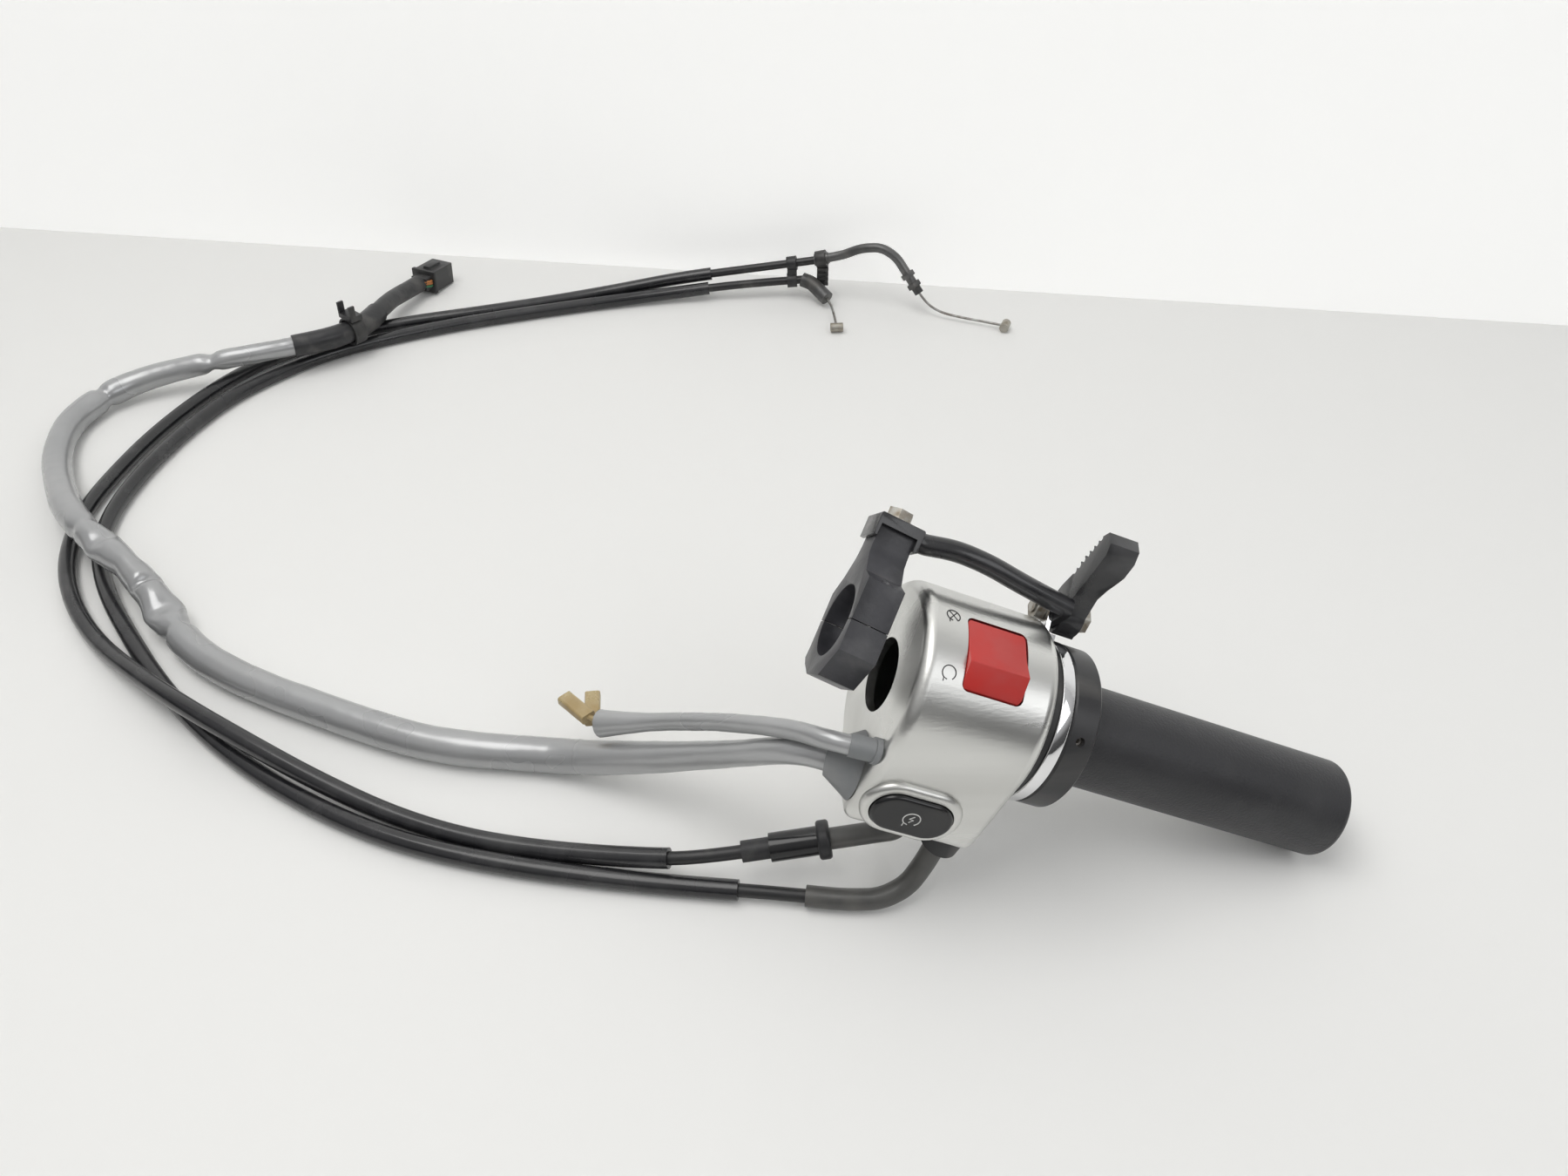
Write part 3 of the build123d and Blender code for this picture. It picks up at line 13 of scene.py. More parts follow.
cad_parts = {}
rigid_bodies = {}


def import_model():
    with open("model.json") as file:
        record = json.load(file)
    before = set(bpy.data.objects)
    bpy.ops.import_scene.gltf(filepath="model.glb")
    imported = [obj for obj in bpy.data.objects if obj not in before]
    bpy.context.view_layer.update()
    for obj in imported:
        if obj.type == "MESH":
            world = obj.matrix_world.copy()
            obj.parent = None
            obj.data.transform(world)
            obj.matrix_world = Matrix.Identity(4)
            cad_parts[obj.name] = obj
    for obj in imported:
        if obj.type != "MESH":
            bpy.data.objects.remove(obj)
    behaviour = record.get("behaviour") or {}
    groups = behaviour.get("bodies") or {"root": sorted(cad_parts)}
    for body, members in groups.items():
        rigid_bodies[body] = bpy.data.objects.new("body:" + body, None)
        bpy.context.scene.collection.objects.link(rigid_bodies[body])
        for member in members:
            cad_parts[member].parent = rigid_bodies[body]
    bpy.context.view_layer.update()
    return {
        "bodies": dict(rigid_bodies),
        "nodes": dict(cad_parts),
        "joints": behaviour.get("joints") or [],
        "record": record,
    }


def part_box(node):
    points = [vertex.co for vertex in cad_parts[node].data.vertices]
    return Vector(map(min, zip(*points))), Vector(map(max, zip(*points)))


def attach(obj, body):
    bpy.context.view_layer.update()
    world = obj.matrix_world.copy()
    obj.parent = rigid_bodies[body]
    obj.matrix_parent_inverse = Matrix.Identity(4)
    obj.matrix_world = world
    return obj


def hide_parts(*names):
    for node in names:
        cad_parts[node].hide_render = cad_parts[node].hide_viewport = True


LOG = logging.getLogger("throttle_grip")
MM = 0.001
ORIGIN = (5.3, -1.8, 0.0)
BORE_CENTRE = (-55.6, 0.0, 84.4)
BAR_TILT = 22.7
Point = tuple[float, float, float]


def table_point(point: Point) -> Vector:
    """A table-frame point in millimetres as a point of the row frame in metres."""
    return Vector([(point[i] - ORIGIN[i]) * MM for i in range(3)])


def bar_matrix() -> Matrix:
    """Matrix from the bar frame, in metres, to the row frame."""
    return Matrix.Translation(table_point(BORE_CENTRE)) @ Matrix.Rotation(math.radians(BAR_TILT), 4, "Y")


def bar_point(x: float, y: float, z: float) -> Vector:
    """A bar-frame point in millimetres as a point of the row frame in metres."""
    return bar_matrix() @ Vector((x * MM, y * MM, z * MM))


def deselect_all() -> None:
    """Clear the selection left by the last step."""
    for item in list(bpy.context.selected_objects):
        item.select_set(False)


def choose(item: bpy.types.Object) -> None:
    """Make one object the only selected and active one."""
    deselect_all()
    item.select_set(True)
    bpy.context.view_layer.objects.active = item


class Effect(Enum):
    """Names of the shared surface effects."""

    GRAIN = "surface_grain"
    STREAKS = "polish_streaks"
    GRIME = "handling_grime"


class EffectLibrary:
    """Builds the shared shader groups once and hands them out."""

    def __init__(self) -> None:
        """Build all the groups."""
        self.groups = {
            Effect.GRAIN: self.grain(),
            Effect.STREAKS: self.streaks(),
            Effect.GRIME: self.grime(),
        }

    @staticmethod
    def new_group(effect: Effect, inputs: dict[str, float], outputs: list[str]) -> bpy.types.NodeTree:
        """Make an empty group with a vector input and named values.

        Args:
            effect: the effect that the group makes.
            inputs: name and default of each value input.
            outputs: names of the value outputs.

        Returns:
            The new node tree.
        """
        tree = bpy.data.node_groups.new(effect.value, "ShaderNodeTree")
        tree.interface.new_socket("Vector", in_out="INPUT", socket_type="NodeSocketVector")
        for name, default in inputs.items():
            socket = tree.interface.new_socket(name, in_out="INPUT", socket_type="NodeSocketFloat")
            socket.default_value = default
        for name in outputs:
            tree.interface.new_socket(name, in_out="OUTPUT", socket_type="NodeSocketFloat")
        tree.nodes.new("NodeGroupInput").name = "in"
        tree.nodes.new("NodeGroupOutput").name = "out"
        return tree

    @staticmethod
    def noise(tree: bpy.types.NodeTree, scale_input: str, detail: float) -> bpy.types.ShaderNode:
        """A noise texture whose scale comes from a group input.

        Args:
            tree: the group to add it to.
            scale_input: name of the group input that sets the scale.
            detail: octaves of the noise.

        Returns:
            The noise node.
        """
        node = tree.nodes.new("ShaderNodeTexNoise")
        node.inputs["Detail"].default_value = detail
        source = tree.nodes["in"]
        tree.links.new(source.outputs["Vector"], node.inputs["Vector"])
        tree.links.new(source.outputs[scale_input], node.inputs["Scale"])
        return node

    @staticmethod
    def ramp(tree: bpy.types.NodeTree, source: bpy.types.NodeSocket, low: float,
             high: float) -> bpy.types.NodeSocket:
        """Stretch a value between two levels to 0 and 1.

        Args:
            tree: the tree to add the node to.
            source: the value.
            low: level that becomes 0.
            high: level that becomes 1.

        Returns:
            The stretched value.
        """
        node = tree.nodes.new("ShaderNodeMapRange")
        node.inputs["From Min"].default_value = low
        node.inputs["From Max"].default_value = high
        tree.links.new(source, node.inputs["Value"])
        return node.outputs["Result"]

    def grain(self) -> bpy.types.NodeTree:
        """Fine moulded or cast grain with broad mottling."""
        tree = self.new_group(Effect.GRAIN, {"Fine": 1500.0, "Broad": 40.0}, ["Height", "Mottle"])
        out = tree.nodes["out"]
        fine = self.noise(tree, "Fine", 4.0)
        broad = self.noise(tree, "Broad", 3.0)
        tree.links.new(fine.outputs["Fac"], out.inputs["Height"])
        tree.links.new(self.ramp(tree, broad.outputs["Fac"], 0.35, 0.65), out.inputs["Mottle"])
        return tree

    def streaks(self) -> bpy.types.NodeTree:
        """Long fine polishing marks and scattered dents."""
        tree = self.new_group(Effect.STREAKS, {"Across": 900.0, "Spots": 120.0}, ["Height", "Mask"])
        out = tree.nodes["out"]
        lines = self.noise(tree, "Across", 6.0)
        spots = self.noise(tree, "Spots", 2.0)
        tree.links.new(lines.outputs["Fac"], out.inputs["Height"])
        tree.links.new(self.ramp(tree, spots.outputs["Fac"], 0.56, 0.7), out.inputs["Mask"])
        return tree

    def grime(self) -> bpy.types.NodeTree:
        """Patches of dust and wear."""
        tree = self.new_group(Effect.GRIME, {"Patch": 60.0}, ["Mask"])
        patch = self.noise(tree, "Patch", 5.0)
        tree.links.new(self.ramp(tree, patch.outputs["Fac"], 0.52, 0.68), tree.nodes["out"].inputs["Mask"])
        return tree


@dataclass(frozen=True)
class Finish:
    """A surface finish built from the shared effects."""

    name: str
    colour: Point
    worn_colour: Point
    roughness: float
    worn_roughness: float
    metallic: float = 0.0
    bump: float = 0.1
    bump_depth: float = 0.0001
    fine: float = 1500.0
    broad: float = 45.0
    stretch: Point = (1.0, 1.0, 1.0)
    tilted: bool = False
    coat: float = 0.0
    dust: float = 0.12
    dust_colour: Point = (0.35, 0.33, 0.3)
    alpha: float = 1.0
    transmission: float = 0.0
    streaks: float = 0.0

    def build(self, library: EffectLibrary) -> bpy.types.Material:
        """Make the material.

        Args:
            library: the shared effects.

        Returns:
            The new material.
        """
        material = bpy.data.materials.new(self.name)
        material.use_nodes = True
        tree = material.node_tree
        shader = tree.nodes["Principled BSDF"]
        place = tree.nodes.new("ShaderNodeTexCoord")
        mapping = tree.nodes.new("ShaderNodeMapping")
        mapping.inputs["Scale"].default_value = self.stretch
        if self.tilted:
            mapping.inputs["Rotation"].default_value = (0, -math.radians(BAR_TILT), 0)
        tree.links.new(place.outputs["Object"], mapping.inputs["Vector"])
        grain = self.use(tree, library, Effect.GRAIN, mapping)
        grain.inputs["Fine"].default_value = self.fine
        grain.inputs["Broad"].default_value = self.broad
        grime = self.use(tree, library, Effect.GRIME, mapping)
        base = self.blend(tree, grain.outputs["Mottle"], self.colour, self.worn_colour)
        dusty = tree.nodes.new("ShaderNodeMix")
        dusty.data_type = "RGBA"
        amount = tree.nodes.new("ShaderNodeMath")
        amount.operation = "MULTIPLY"
        amount.inputs[1].default_value = self.dust
        tree.links.new(grime.outputs["Mask"], amount.inputs[0])
        tree.links.new(amount.outputs[0], dusty.inputs["Factor"])
        tree.links.new(base.outputs["Result"], dusty.inputs["A"])
        dusty.inputs["B"].default_value = (*self.dust_colour, 1)
        tree.links.new(dusty.outputs["Result"], shader.inputs["Base Color"])
        rough = tree.nodes.new("ShaderNodeMapRange")
        rough.inputs["To Min"].default_value = self.roughness
        rough.inputs["To Max"].default_value = self.worn_roughness
        tree.links.new(grain.outputs["Mottle"], rough.inputs["Value"])
        tree.links.new(rough.outputs["Result"], shader.inputs["Roughness"])
        bump = tree.nodes.new("ShaderNodeBump")
        bump.inputs["Strength"].default_value = self.bump
        bump.inputs["Distance"].default_value = self.bump_depth
        tree.links.new(grain.outputs["Height"], bump.inputs["Height"])
        tree.links.new(bump.outputs["Normal"], shader.inputs["Normal"])
        if self.streaks:
            self.scratch(tree, library, mapping, bump)
        shader.inputs["Metallic"].default_value = self.metallic
        shader.inputs["Coat Weight"].default_value = self.coat
        shader.inputs["Alpha"].default_value = self.alpha
        shader.inputs["Transmission Weight"].default_value = self.transmission
        return material

    def scratch(self, tree: bpy.types.NodeTree, library: EffectLibrary, mapping: bpy.types.ShaderNode,
                bump: bpy.types.ShaderNode) -> None:
        """Add polishing marks below the grain.

        Args:
            tree: the material's tree.
            library: the shared effects.
            mapping: the node that gives the coordinates.
            bump: the grain's bump node.
        """
        marks = self.use(tree, library, Effect.STREAKS, mapping)
        lower = tree.nodes.new("ShaderNodeBump")
        lower.inputs["Strength"].default_value = self.streaks
        lower.inputs["Distance"].default_value = 0.00012
        tree.links.new(marks.outputs["Height"], lower.inputs["Height"])
        tree.links.new(lower.outputs["Normal"], bump.inputs["Normal"])

    @staticmethod
    def use(tree: bpy.types.NodeTree, library: EffectLibrary, effect: Effect,
            mapping: bpy.types.ShaderNode) -> bpy.types.ShaderNode:
        """Place a shared effect in a material.

        Args:
            tree: the material's tree.
            library: the shared effects.
            effect: the one to place.
            mapping: the node that gives its coordinates.

        Returns:
            The group node.
        """
        node = tree.nodes.new("ShaderNodeGroup")
        node.node_tree = library.groups[effect]
        tree.links.new(mapping.outputs["Vector"], node.inputs["Vector"])
        return node

    @staticmethod
    def blend(tree: bpy.types.NodeTree, mask: bpy.types.NodeSocket, first: Point,
              second: Point) -> bpy.types.ShaderNode:
        """Mix two colours by a mask.

        Args:
            tree: the tree to add the node to.
            mask: 0 for the first colour, 1 for the second.
            first: colour at 0.
            second: colour at 1.

        Returns:
            The mix node.
        """
        node = tree.nodes.new("ShaderNodeMix")
        node.data_type = "RGBA"
        node.inputs["A"].default_value = (*first, 1)
        node.inputs["B"].default_value = (*second, 1)
        tree.links.new(mask, node.inputs["Factor"])
        return node


FINISHES = {
    "polished_aluminium": Finish("polished_aluminium", (0.72, 0.72, 0.70), (0.62, 0.62, 0.60), 0.24, 0.36, 1.0,
                                 0.22, 0.00006, 2600.0, 30.0, (0.04, 1.0, 1.0), True, dust=0.10,
                                 dust_colour=(0.5, 0.49, 0.46), streaks=0.35),
    "screw_steel": Finish("screw_steel", (0.5, 0.49, 0.47), (0.36, 0.34, 0.31), 0.3, 0.5, 1.0),
    "red_plastic": Finish("red_plastic", (0.56, 0.035, 0.03), (0.5, 0.045, 0.04), 0.3, 0.42, 0.0, 0.12, 0.0001,
                          1400.0, 60.0, dust=0.06, dust_colour=(0.6, 0.3, 0.28)),
    "switch_plastic": Finish("switch_plastic", (0.007, 0.007, 0.008), (0.011, 0.011, 0.012), 0.16, 0.26, 0.0,
                             0.06, 0.00005, dust=0.03),
    "nylon": Finish("nylon", (0.022, 0.022, 0.024), (0.03, 0.03, 0.03), 0.4, 0.55),
    "grip_rubber": Finish("grip_rubber", (0.021, 0.021, 0.024), (0.032, 0.032, 0.035), 0.38, 0.52, 0.0, 0.55,
                          0.00035, 1100.0, 26.0, (1.0, 1.0, 1.0), True, dust=0.10, dust_colour=(0.10, 0.10, 0.10)),
    "collar_black": Finish("collar_black", (0.018, 0.018, 0.020), (0.03, 0.03, 0.032), 0.3, 0.42, 0.0, 0.1, 0.0001,
                           2400.0, 30.0, (0.1, 1.0, 1.0), True, dust=0.12),
    "chrome": Finish("chrome", (0.83, 0.83, 0.84), (0.78, 0.78, 0.79), 0.05, 0.1, 1.0, 0.03, 0.00003, dust=0.03),
    "plated_steel": Finish("plated_steel", (0.45, 0.44, 0.41), (0.26, 0.22, 0.17), 0.32, 0.6, 1.0, 0.3, 0.0001,
                           900.0, 330.0, dust=0.14, dust_colour=(0.3, 0.25, 0.19)),
    "black_aluminium": Finish("black_aluminium", (0.014, 0.014, 0.016), (0.03, 0.03, 0.033), 0.24, 0.42, 0.0,
                              0.22, 0.0002, 700.0, 60.0, coat=0.3, dust=0.14, dust_colour=(0.2, 0.2, 0.2)),
    "clamp_aluminium": Finish("clamp_aluminium", (0.022, 0.022, 0.026), (0.045, 0.045, 0.052), 0.3, 0.46, 0.0,
                              0.3, 0.00025, 700.0, 70.0, dust=0.22, dust_colour=(0.22, 0.22, 0.22)),
    "black_rubber": Finish("black_rubber", (0.014, 0.014, 0.016), (0.024, 0.024, 0.026), 0.42, 0.58, dust=0.14),
    "pipe_paint": Finish("pipe_paint", (0.072, 0.072, 0.069), (0.10, 0.098, 0.092), 0.32, 0.46, 0.0, 0.2, 0.0002,
                         900.0, 90.0, dust=0.2, dust_colour=(0.2, 0.19, 0.17)),
    "cable_black": Finish("cable_black", (0.012, 0.012, 0.013), (0.02, 0.02, 0.021), 0.3, 0.45, dust=0.12),
    "sleeve_grey": Finish("sleeve_black", (0.010, 0.010, 0.012), (0.018, 0.018, 0.02), 0.2, 0.34, 0.0, 0.2, 0.0003,
                          300.0, 24.0, coat=0.25, dust=0.12, dust_colour=(0.16, 0.16, 0.16)),
    "grey_rubber": Finish("grey_rubber", (0.20, 0.21, 0.215), (0.25, 0.255, 0.26), 0.45, 0.6, 0.0, 0.3, 0.0003,
                          600.0, 60.0, dust=0.2, dust_colour=(0.34, 0.34, 0.32)),
    "harness_pvc": Finish("harness_pvc", (0.37, 0.375, 0.38), (0.45, 0.455, 0.46), 0.24, 0.33, 0.4, 0.2, 0.0004,
                          220.0, 16.0, coat=0.1, dust=0.15, dust_colour=(0.46, 0.46, 0.45)),
    "tape_black": Finish("tape_black", (0.016, 0.016, 0.018), (0.03, 0.03, 0.032), 0.32, 0.5, 0.0, 0.3, 0.0004,
                         300.0, 60.0, dust=0.15),
    "clip_plastic": Finish("clip_plastic", (0.015, 0.015, 0.017), (0.03, 0.03, 0.03), 0.38, 0.5),
    "terminal_sleeve": Finish("terminal_sleeve", (0.62, 0.50, 0.27), (0.50, 0.36, 0.16), 0.25, 0.38, 0.0, 0.1,
                              0.0001, 800.0, 120.0, coat=0.3, dust=0.1, alpha=0.93, transmission=0.25),
    "zinc": Finish("zinc", (0.14, 0.14, 0.14), (0.06, 0.06, 0.06), 0.35, 0.55, 0.6, 0.2, 0.0001, dust=0.2),
    "wire_steel": Finish("wire_steel", (0.42, 0.42, 0.41), (0.24, 0.22, 0.2), 0.35, 0.5, 1.0, 0.4, 0.0002, 2200.0,
                         200.0),
    "nipple_metal": Finish("nipple_metal", (0.42, 0.40, 0.36), (0.28, 0.25, 0.2), 0.4, 0.6, 1.0, 0.3, 0.0001,
                           900.0, 200.0),
    "icon_black": Finish("icon_black", (0.02, 0.02, 0.02), (0.035, 0.035, 0.035), 0.6, 0.7, dust=0.1),
    "icon_white": Finish("icon_white", (0.72, 0.72, 0.7), (0.62, 0.62, 0.6), 0.5, 0.6, dust=0.05),
    "copper_wire": Finish("copper_wire", (0.55, 0.22, 0.07), (0.42, 0.16, 0.05), 0.4, 0.55),
    "green_wire": Finish("green_wire", (0.03, 0.16, 0.07), (0.04, 0.2, 0.09), 0.4, 0.5),
}


class Wardrobe:
    """Makes each finish once and dresses pieces with it."""

    def __init__(self) -> None:
        """Build the shared effects; materials follow as they are asked for."""
        self.library = EffectLibrary()
        self.made: dict[str, bpy.types.Material] = {}

    def material(self, name: str) -> bpy.types.Material:
        """The material of a finish, made on first use."""
        if name not in self.made:
            self.made[name] = FINISHES[name].build(self.library)
        return self.made[name]

    def dress(self, item: bpy.types.Object, name: str) -> None:
        """Give a piece one finish all over."""
        item.data.materials.clear()
        item.data.materials.append(self.material(name))


def ride_slot(item: bpy.types.Object, body: str) -> None:
    """Let a new piece ride on a body."""
    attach(item, body)


@dataclass
class FrameDresser:
    """Gives every CAD node its material, and rounds the edges of some."""

    wardrobe: Wardrobe
    frame: dict
    softened: dict[str, float] = field(default_factory=lambda: {
        "lock_lever": 0.9, "clamp_upper": 0.7, "clamp_lower": 0.7, "clamp_cap": 0.5, "kill_rocker": 0.45,
        "harness_clip": 0.3, "lead_grommet": 0.8, "harness_connector": 0.5, "cable_clip_1": 0.3,
        "end_bracket": 0.3, "friction_band": 0.25, "lock_nut": 0.35, "lock_bolt": 0.35, "clamp_cap_bolt": 0.45,
        "pull_nut_1": 0.35, "pull_nut_2": 0.35})

    def dress(self) -> None:
        """Dress all the nodes by the record's slots."""
        for entry in self.frame["record"]["subparts"]:
            node = self.frame["nodes"][entry["node"]]
            self.wardrobe.dress(node, entry["material_slot"])
            LOG.info("dressed %s", node.name)

    def soften(self) -> None:
        """Replace the moulded and cast pieces by copies with rounded edges."""
        bodies = self.frame["record"]["behaviour"]["bodies"]
        slots = {e["node"]: e["material_slot"] for e in self.frame["record"]["subparts"]}
        for name, width in self.softened.items():
            source = self.frame["nodes"][name]
            piece = bpy.data.objects.new(f"{name}_rounded", source.data.copy())
            bpy.context.scene.collection.objects.link(piece)
            choose(piece)
            bpy.ops.object.mode_set(mode="EDIT")
            bpy.ops.mesh.select_all(action="SELECT")
            bpy.ops.mesh.remove_doubles(threshold=1e-6)
            bpy.ops.mesh.dissolve_limited(angle_limit=math.radians(0.6))
            bpy.ops.mesh.normals_make_consistent(inside=False)
            bpy.ops.object.mode_set(mode="OBJECT")
            bevel = piece.modifiers.new("edge_rounding", "BEVEL")
            bevel.width = width * MM
            bevel.segments = 3
            bevel.limit_method = "ANGLE"
            bevel.angle_limit = math.radians(33)
            bevel.use_clamp_overlap = True
            bpy.ops.object.modifier_apply(modifier=bevel.name)
            bpy.ops.object.shade_smooth_by_angle(angle=math.radians(32))
            self.wardrobe.dress(piece, slots[name])
            body = next(b for b, members in bodies.items() if name in members)
            ride_slot(piece, body)
            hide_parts(name)
            LOG.info("rounded %s", name)


UPPER_CABLE: list[Point] = [
    (-99.0, -19.7, 16.5), (-119.8, -21.3, 13.8), (-138.0, -18.4, 10.4), (-161.0, -14.1, 7.0),
    (-184.0, -9.5, 4.7), (-209.0, -3.8, 4.1), (-237.0, 6.1, 4.8), (-268.0, 20.0, 8.6), (-297.0, 35.0, 12.8),
    (-326.0, 52.0, 14.6), (-355.0, 74.0, 10.5), (-383.0, 98.0, 5.5), (-405.0, 123.0, 4.1), (-421.0, 150.0, 4.2),
    (-429.5, 178.0, 4.1), (-431.5, 203.0, 4.2), (-429.0, 229.0, 4.1), (-424.0, 258.0, 4.2),
    (-415.0, 289.0, 4.1), (-402.0, 318.0, 4.2), (-383.0, 345.0, 4.1), (-357.0, 366.0, 4.2),
    (-325.0, 382.5, 4.1), (-281.0, 396.0, 4.2), (-239.0, 408.8, 4.4), (-197.0, 420.6, 6.4),
    (-154.0, 428.0, 12.0), (-112.0, 429.0, 17.4), (-69.1, 425.2, 25.2),
]
LOWER_CABLE: list[Point] = [
    (-77.3, -31.2, 5.0), (-95.0, -29.2, 5.0), (-113.0, -27.2, 4.4), (-135.0, -24.8, 4.1), (-160.0, -21.6, 4.2),
    (-186.0, -17.4, 4.1), (-212.0, -11.6, 4.2), (-237.0, -3.6, 4.1), (-264.0, 9.0, 4.2), (-295.0, 28.0, 4.1),
    (-325.0, 51.5, 4.2), (-352.0, 79.0, 4.1), (-374.0, 106.0, 4.2), (-392.0, 129.5, 4.1), (-405.0, 151.0, 4.2),
    (-414.0, 173.0, 4.1), (-417.5, 195.0, 4.2), (-417.0, 218.0, 4.1), (-413.0, 245.0, 4.2),
    (-406.0, 272.0, 4.1), (-396.0, 298.0, 4.2), (-380.0, 322.0, 4.1), (-357.0, 345.0, 4.2),
    (-328.0, 364.0, 4.1), (-287.0, 383.0, 4.2), (-242.0, 398.4, 4.1), (-198.0, 411.4, 4.3),
    (-154.0, 420.0, 6.2), (-116.0, 424.0, 9.8), (-76.5, 424.6, 12.6),
]
HARNESS_SHEATH: list[Point] = [
    (-73.7, -21.0, 67.0), (-82.5, -18.4, 67.6), (-93.0, -11.8, 60.0), (-104.0, -4.4, 50.2), (-119.0, 6.0, 37.6),
    (-137.0, 16.2, 25.2), (-169.0, 31.1, 8.5), (-190.0, 34.4, 7.3), (-212.0, 36.4, 7.4), (-232.0, 40.6, 7.3),
    (-253.0, 48.2, 7.4), (-275.0, 57.6, 7.3), (-297.0, 67.4, 7.4), (-319.0, 78.4, 7.3), (-338.0, 91.0, 7.6),
    (-354.0, 107.0, 8.6), (-368.0, 124.0, 13.0), (-385.0, 140.0, 17.6), (-405.0, 155.0, 19.4),
    (-426.0, 177.0, 18.4), (-443.0, 203.0, 13.0), (-457.0, 227.0, 8.4), (-466.0, 250.0, 7.3),
    (-469.0, 274.0, 7.4), (-460.0, 296.0, 8.4), (-442.0, 310.0, 11.4), (-402.0, 319.1, 17.2),
    (-384.0, 325.4, 17.6), (-366.3, 334.2, 17.0),
]
TAPE_END: list[Point] = [
    (-366.3, 334.2, 17.0), (-354.7, 340.0, 16.6), (-342.6, 348.0, 16.6), (-332.0, 361.0, 16.2),
    (-329.6, 376.0, 15.4),
]
BRANCH: list[Point] = [
    (-329.6, 376.0, 15.4), (-327.1, 391.7, 14.6), (-324.0, 408.6, 10.8), (-316.6, 425.6, 9.2),
]
LEAD: list[Point] = [
    (-67.2, -27.5, 80.0), (-74.0, -26.4, 81.2), (-83.5, -17.6, 76.0), (-95.0, -7.6, 67.8), (-109.0, 3.8, 57.4),
    (-125.0, 14.6, 46.4), (-142.0, 23.6, 36.2), (-157.0, 29.6, 29.4),
]
PULL_WIRE: list[Point] = [
    (-7.7, 404.3, 17.4), (-3.1, 401.6, 11.3), (2.5, 398.8, 6.9), (9.5, 396.2, 4.5), (18.5, 393.2, 3.6),
    (30.5, 388.8, 3.4), (43.0, 384.0, 3.2),
]
RETURN_WIRE: list[Point] = [
    (-63.7, 414.8, 7.4), (-59.1, 409.2, 4.2), (-57.9, 401.5, 3.3), (-57.0, 392.5, 3.1), (-56.4, 383.6, 3.2),
]


@dataclass
class Route:
    """A cord's route in table-frame millimetres, with its radius along it."""

    name: str
    points: list[Point]
    radius: float
    radii: list[float] | None = None

    def curve(self, name: str, radius: float | None = None, start: float = 0.0,
              end: float = 1.0, rings: int = 8) -> bpy.types.Object:
        """A smooth round curve along the route.

        Args:
            name: name of the new object.
            radius: its radius, or none for the route's own.
            start: share of the length where it begins.
            end: share of the length where it ends.
            rings: rings between two points of the route.

        Returns:
            The curve object.
        """
        data = bpy.data.curves.new(name, "CURVE")
        data.dimensions = "3D"
        data.resolution_u = rings
        spline = data.splines.new("NURBS")
        spline.points.add(len(self.points) - 1)
        full = self.radius if radius is None else radius
        for index, point in enumerate(self.points):
            spline.points[index].co = (*table_point(point), 1.0)
            if self.radii and radius is None:
                spline.points[index].radius = self.radii[index] / full
        spline.order_u = 3
        spline.use_endpoint_u = True
        data.bevel_depth = full * MM
        data.bevel_resolution = 6
        data.use_fill_caps = True
        data.bevel_factor_mapping_start = "SPLINE"
        data.bevel_factor_mapping_end = "SPLINE"
        data.bevel_factor_start = start
        data.bevel_factor_end = end
        item = bpy.data.objects.new(name, data)
        bpy.context.scene.collection.objects.link(item)
        return item

    def path(self) -> list[Point]:
        """Points along the smooth line, in the row frame."""
        line = self.curve(f"{self.name}_line", 0.0)
        bpy.context.view_layer.update()
        mesh = bpy.data.meshes.new_from_object(line.evaluated_get(bpy.context.evaluated_depsgraph_get()))
        points = [tuple(v.co) for v in mesh.vertices]
        bpy.data.objects.remove(line)
        return points


def to_mesh(item: bpy.types.Object) -> bpy.types.Object:
    """Turn a curve into a smooth mesh."""
    choose(item)
    bpy.ops.object.convert(target="MESH")
    bpy.ops.object.shade_smooth_by_angle(angle=math.radians(40))
    return item


CREASE_FADE = 2.5
CREASE_MARGIN = 9.0


@dataclass(frozen=True)
class Crease:
    """A place where a soft tube is squeezed: how its width and height change, and how far along."""

    place: Point
    width: float
    height: float
    reach: float

    def press(self, piece: bpy.types.Object, line: list[Vector]) -> None:
        """Squeeze the tube at this place.

        Args:
            piece: the tube's mesh.
            line: points along the tube's middle, in the row frame.
        """
        centre = table_point(self.place)
        index = min(range(1, len(line) - 1), key=lambda i: (line[i] - centre).length)
        along = (line[index + 1] - line[index - 1]).normalized()
        side = along.cross(Vector((0, 0, 1))).normalized()
        up = side.cross(along)
        middle = line[index] + along * (centre - line[index]).dot(along)
        for vertex in piece.data.vertices:
            away = vertex.co - middle
            if away.length > (self.reach * CREASE_FADE + CREASE_MARGIN) * MM:
                continue
            share = math.exp(-((away.dot(along) / (self.reach * MM)) ** 2))
            vertex.co += (side * away.dot(side) * self.width + up * away.dot(up) * self.height) * share


CREASES = [
    Crease((-351.0, 103.0, 8.4), -0.26, -0.05, 2.6),
    Crease((-359.5, 113.5, 10.0), 0.24, -0.42, 6.0),
    Crease((-371.0, 127.0, 13.8), 0.06, -0.38, 2.0),
    Crease((-383.0, 138.0, 17.0), -0.14, 0.06, 5.0),
    Crease((-398.0, 149.5, 19.0), 0.16, -0.34, 5.0),
    Crease((-411.0, 161.0, 19.2), -0.18, -0.05, 3.0),
    Crease((-458.0, 292.0, 8.4), -0.15, -0.25, 3.0),
    Crease((-407.0, 318.0, 16.8), -0.08, -0.34, 3.5),
]


